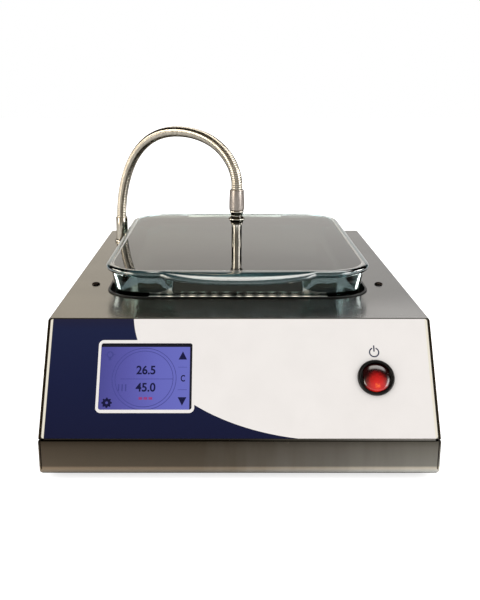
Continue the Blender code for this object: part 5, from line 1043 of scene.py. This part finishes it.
class BATH_OT_gooseneck(bpy.types.Operator):
    """Flexible ribbed tube from its ferrule to the probe's sleeve"""

    bl_idname = "bath.gooseneck"
    bl_label = "Gooseneck"

    def execute(self, context):
        sizes = context.scene.bath_sizes
        per_rib = 8
        count = sizes.ribs * per_rib + 1
        curve = bpy.data.curves.new("gooseneck", "CURVE")
        curve.dimensions = "3D"
        curve.bevel_depth = 1.0  # each point's radius is then the tube's own
        curve.bevel_resolution = 6
        curve.use_fill_caps = True
        spline = curve.splines.new("POLY")
        spline.points.add(count - 1)
        for i, (target, point) in enumerate(zip(spline.points, arch_points(count))):
            target.co = (*point, 1.0)
            groove = abs(math.cos(math.pi * i / per_rib)) ** 8
            target.radius = TUBE_RADIUS - sizes.rib_depth * groove
        mesh = solid_from(curve)
        bm = bmesh.new()
        bm.from_mesh(mesh)
        bpy.data.meshes.remove(mesh)
        bmesh.ops.remove_doubles(bm, verts=bm.verts, dist=WELD)
        bmesh.ops.recalc_face_normals(bm, faces=bm.faces)
        # Nickel: warm and mirror-like, so that each rib carries its own bright line
        nickel = plated("nickel-plated strip", ("A8A092", "C9C2B4"), 0.12)
        tube = keep("gooseneck_ribs", bm, nickel, None, 80)
        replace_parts(tube, "gooseneck_tube")
        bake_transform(tube)

        # Polished steel is a clear cool mirror, satin chrome a grey that smears its highlights
        bright = plated("polished stainless", ("C6C1B6", "D8D4CA"), 0.1)
        satin = plated("satin chrome", ("9E958D", "B0A8A2"), 0.32, 0.8 * MM)
        give(bright, "gooseneck_nut")
        sleeve = [(4.8, 66.2), (5.3, 66.2)] + corner_arc(5.2, 65.7, 0.5, 60, 0, 3)
        sleeve += [(5.95, 60.0), (6.1, 56.0), (6.1, 50.1), (5.6, 49.6), (1.8, 49.6), (1.8, 61.0), (4.8, 61.0)]
        collar = [(1.8, 49.3), (4.9, 49.3)] + corner_arc(5.0, 48.6, 0.7, 80, 0, 4)
        collar += [(5.6, 47.9), (4.9, 46.6), (4.45, 45.6), (4.45, 45.0), (5.2, 44.0), (6.2, 43.2)]
        collar += corner_arc(6.0, 42.4, 0.6, 40, -50, 5) + [(5.4, 40.6), (4.9, 39.3), (4.8, 38.4), (1.8, 38.4)]
        rod = [(0.0, 38.1), (3.95, 38.1), (4.15, 37.9)] + corner_arc(0.0, 12.65, 4.15, 0, -90, 8)
        rod[-1] = (0.0, 8.5)
        ferrule = [(4.8, 24.0), (5.0, 24.0)] + corner_arc(5.1, 23.6, 0.4, 80, 0, 3)
        ferrule += [(5.5, 2.6), (3.7, 2.6), (3.7, -9.4), (1.8, -9.4), (1.8, 6.3), (4.8, 6.3)]
        bush = [(4.0, 2.3), (5.2, 2.3)] + corner_arc(5.3, 0.8, 1.5, 85, 0, 6)
        bush += [(6.8, 0.3), (5.8, 0.3), (5.8, -13.7), (4.0, -13.7)]
        for name, node, profile, finish, body, slot in (
            ("probe_sleeve_fine", "probe_sleeve", sleeve, satin, "gooseneck_arm", "satin_chrome"),
            ("probe_collar_fine", "probe_collar", collar, bright, "gooseneck_arm", "bright_steel"),
            ("probe_rod_fine", "probe_rod", rod, bright, "gooseneck_arm", "bright_steel"),
            ("ferrule_fine", "gooseneck_ferrule", ferrule, nickel, "gooseneck_foot", "bright_steel"),
            ("bush_fine", "gooseneck_bush", bush, bright, "housing", "bright_steel"),
        ):
            bored = profile[0][0] > 0
            bm = spun([(radius * MM, height * MM) for radius, height in profile], 64, bored)
            foot = PROBE_FOOT if body == "gooseneck_arm" else GOOSENECK_FOOT
            bmesh.ops.translate(bm, vec=foot, verts=bm.verts)
            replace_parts(keep(name, bm, finish, body, 35), node)
        return {"FINISHED"}


class BATH_OT_fixings(bpy.types.Operator):
    """Screws, nuts and feet"""

    bl_idname = "bath.fixings"
    bl_label = "Screws and feet"

    def execute(self, context):
        corners = ("front_left", "front_right", "rear_left", "rear_right")
        # Zinc: a bluish grey metal, softer than the polished steel
        zinc = plated("zinc-plated steel", ("AFAAA2", "C4C0B8"), 0.25)
        give(zinc, *["display_nut_%d" % i for i in range(1, 5)], "inlet_screw_left", "inlet_screw_right")
        give(zinc, *[kind + corner for kind in ("side_screw_", "foot_screw_") for corner in corners])
        # Black oxide: dark metal with a low brown shine
        give(plated("black oxide steel", ("1E1A18", "2C2724"), 0.4), "tray_screw_left", "tray_screw_right")
        # Rubber: matt black
        rubber = moulded("moulded black rubber", ("141414", "202020"), 0.75)
        give(rubber, *["foot_" + corner for corner in corners])
        return {"FINISHED"}


class BATH_OT_inside(bpy.types.Operator):
    """Boards, supply and wires inside the housing"""

    bl_idname = "bath.inside"
    bl_label = "Inside"

    def execute(self, context):
        # Solder mask shows the copper under it as lighter green patches
        mask_green = moulded("green solder mask", ("1A5434", "236A42"), 0.45, 2.5 * MM)
        give(mask_green, "control_board", "display_board")
        # Plain moulded plastics: a glossy dark case, a green block, and matt black sleeves on the wires
        give(moulded("relay case", ("20242A", "2A2F36"), 0.35), "board_relay")
        give(moulded("green terminal block", ("1E6B3A", "2A8048"), 0.4), "board_terminals")
        leads = [name for name in NODES if name.endswith("_lead") or name == "display_cable"]
        give(moulded("black wire sleeve", ("161616", "242424"), 0.6), *leads)
        # Mill-finished aluminium: pale grey, with the rolling marks along its length
        rolled = (20 * MM, 0.4 * MM, 0.4 * MM)
        give(brushed_steel("folded aluminium", ("A5A8A8", "BDC0C0"), rolled, 0.4)[0], "power_supply")
        return {"FINISHED"}


class BATH_PT_panel(bpy.types.Panel):
    """Sidebar list of the bath's steps"""

    bl_idname = "BATH_PT_panel"
    bl_label = "Tissue Flotation Bath"
    bl_space_type = "VIEW_3D"
    bl_region_type = "UI"
    bl_category = "Bath"

    def draw(self, context):
        for group in (context.scene.bath_sizes, context.scene.bath_colours):
            for key in group.__annotations__:
                self.layout.prop(group, key)
        for step in STEPS:
            self.layout.operator(step.bl_idname)


STEPS = (BATH_OT_stage, BATH_OT_housing, BATH_OT_label, BATH_OT_display, BATH_OT_switch, BATH_OT_well)
STEPS += (BATH_OT_dish, BATH_OT_gooseneck, BATH_OT_fixings, BATH_OT_inside)
CLASSES = (BathSizes, BathColours, *STEPS, BATH_PT_panel)


def register():
    for cls in CLASSES:
        bpy.utils.register_class(cls)
    bpy.types.Scene.bath_sizes = PointerProperty(type=BathSizes)
    bpy.types.Scene.bath_colours = PointerProperty(type=BathColours)


def unregister():
    del bpy.types.Scene.bath_colours
    del bpy.types.Scene.bath_sizes
    for cls in reversed(CLASSES):
        bpy.utils.unregister_class(cls)


def main():
    """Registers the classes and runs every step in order."""
    register()
    for step in STEPS:
        group, name = step.bl_idname.split(".")
        getattr(getattr(bpy.ops, group), name)()


if __name__ == "__main__":
    main()
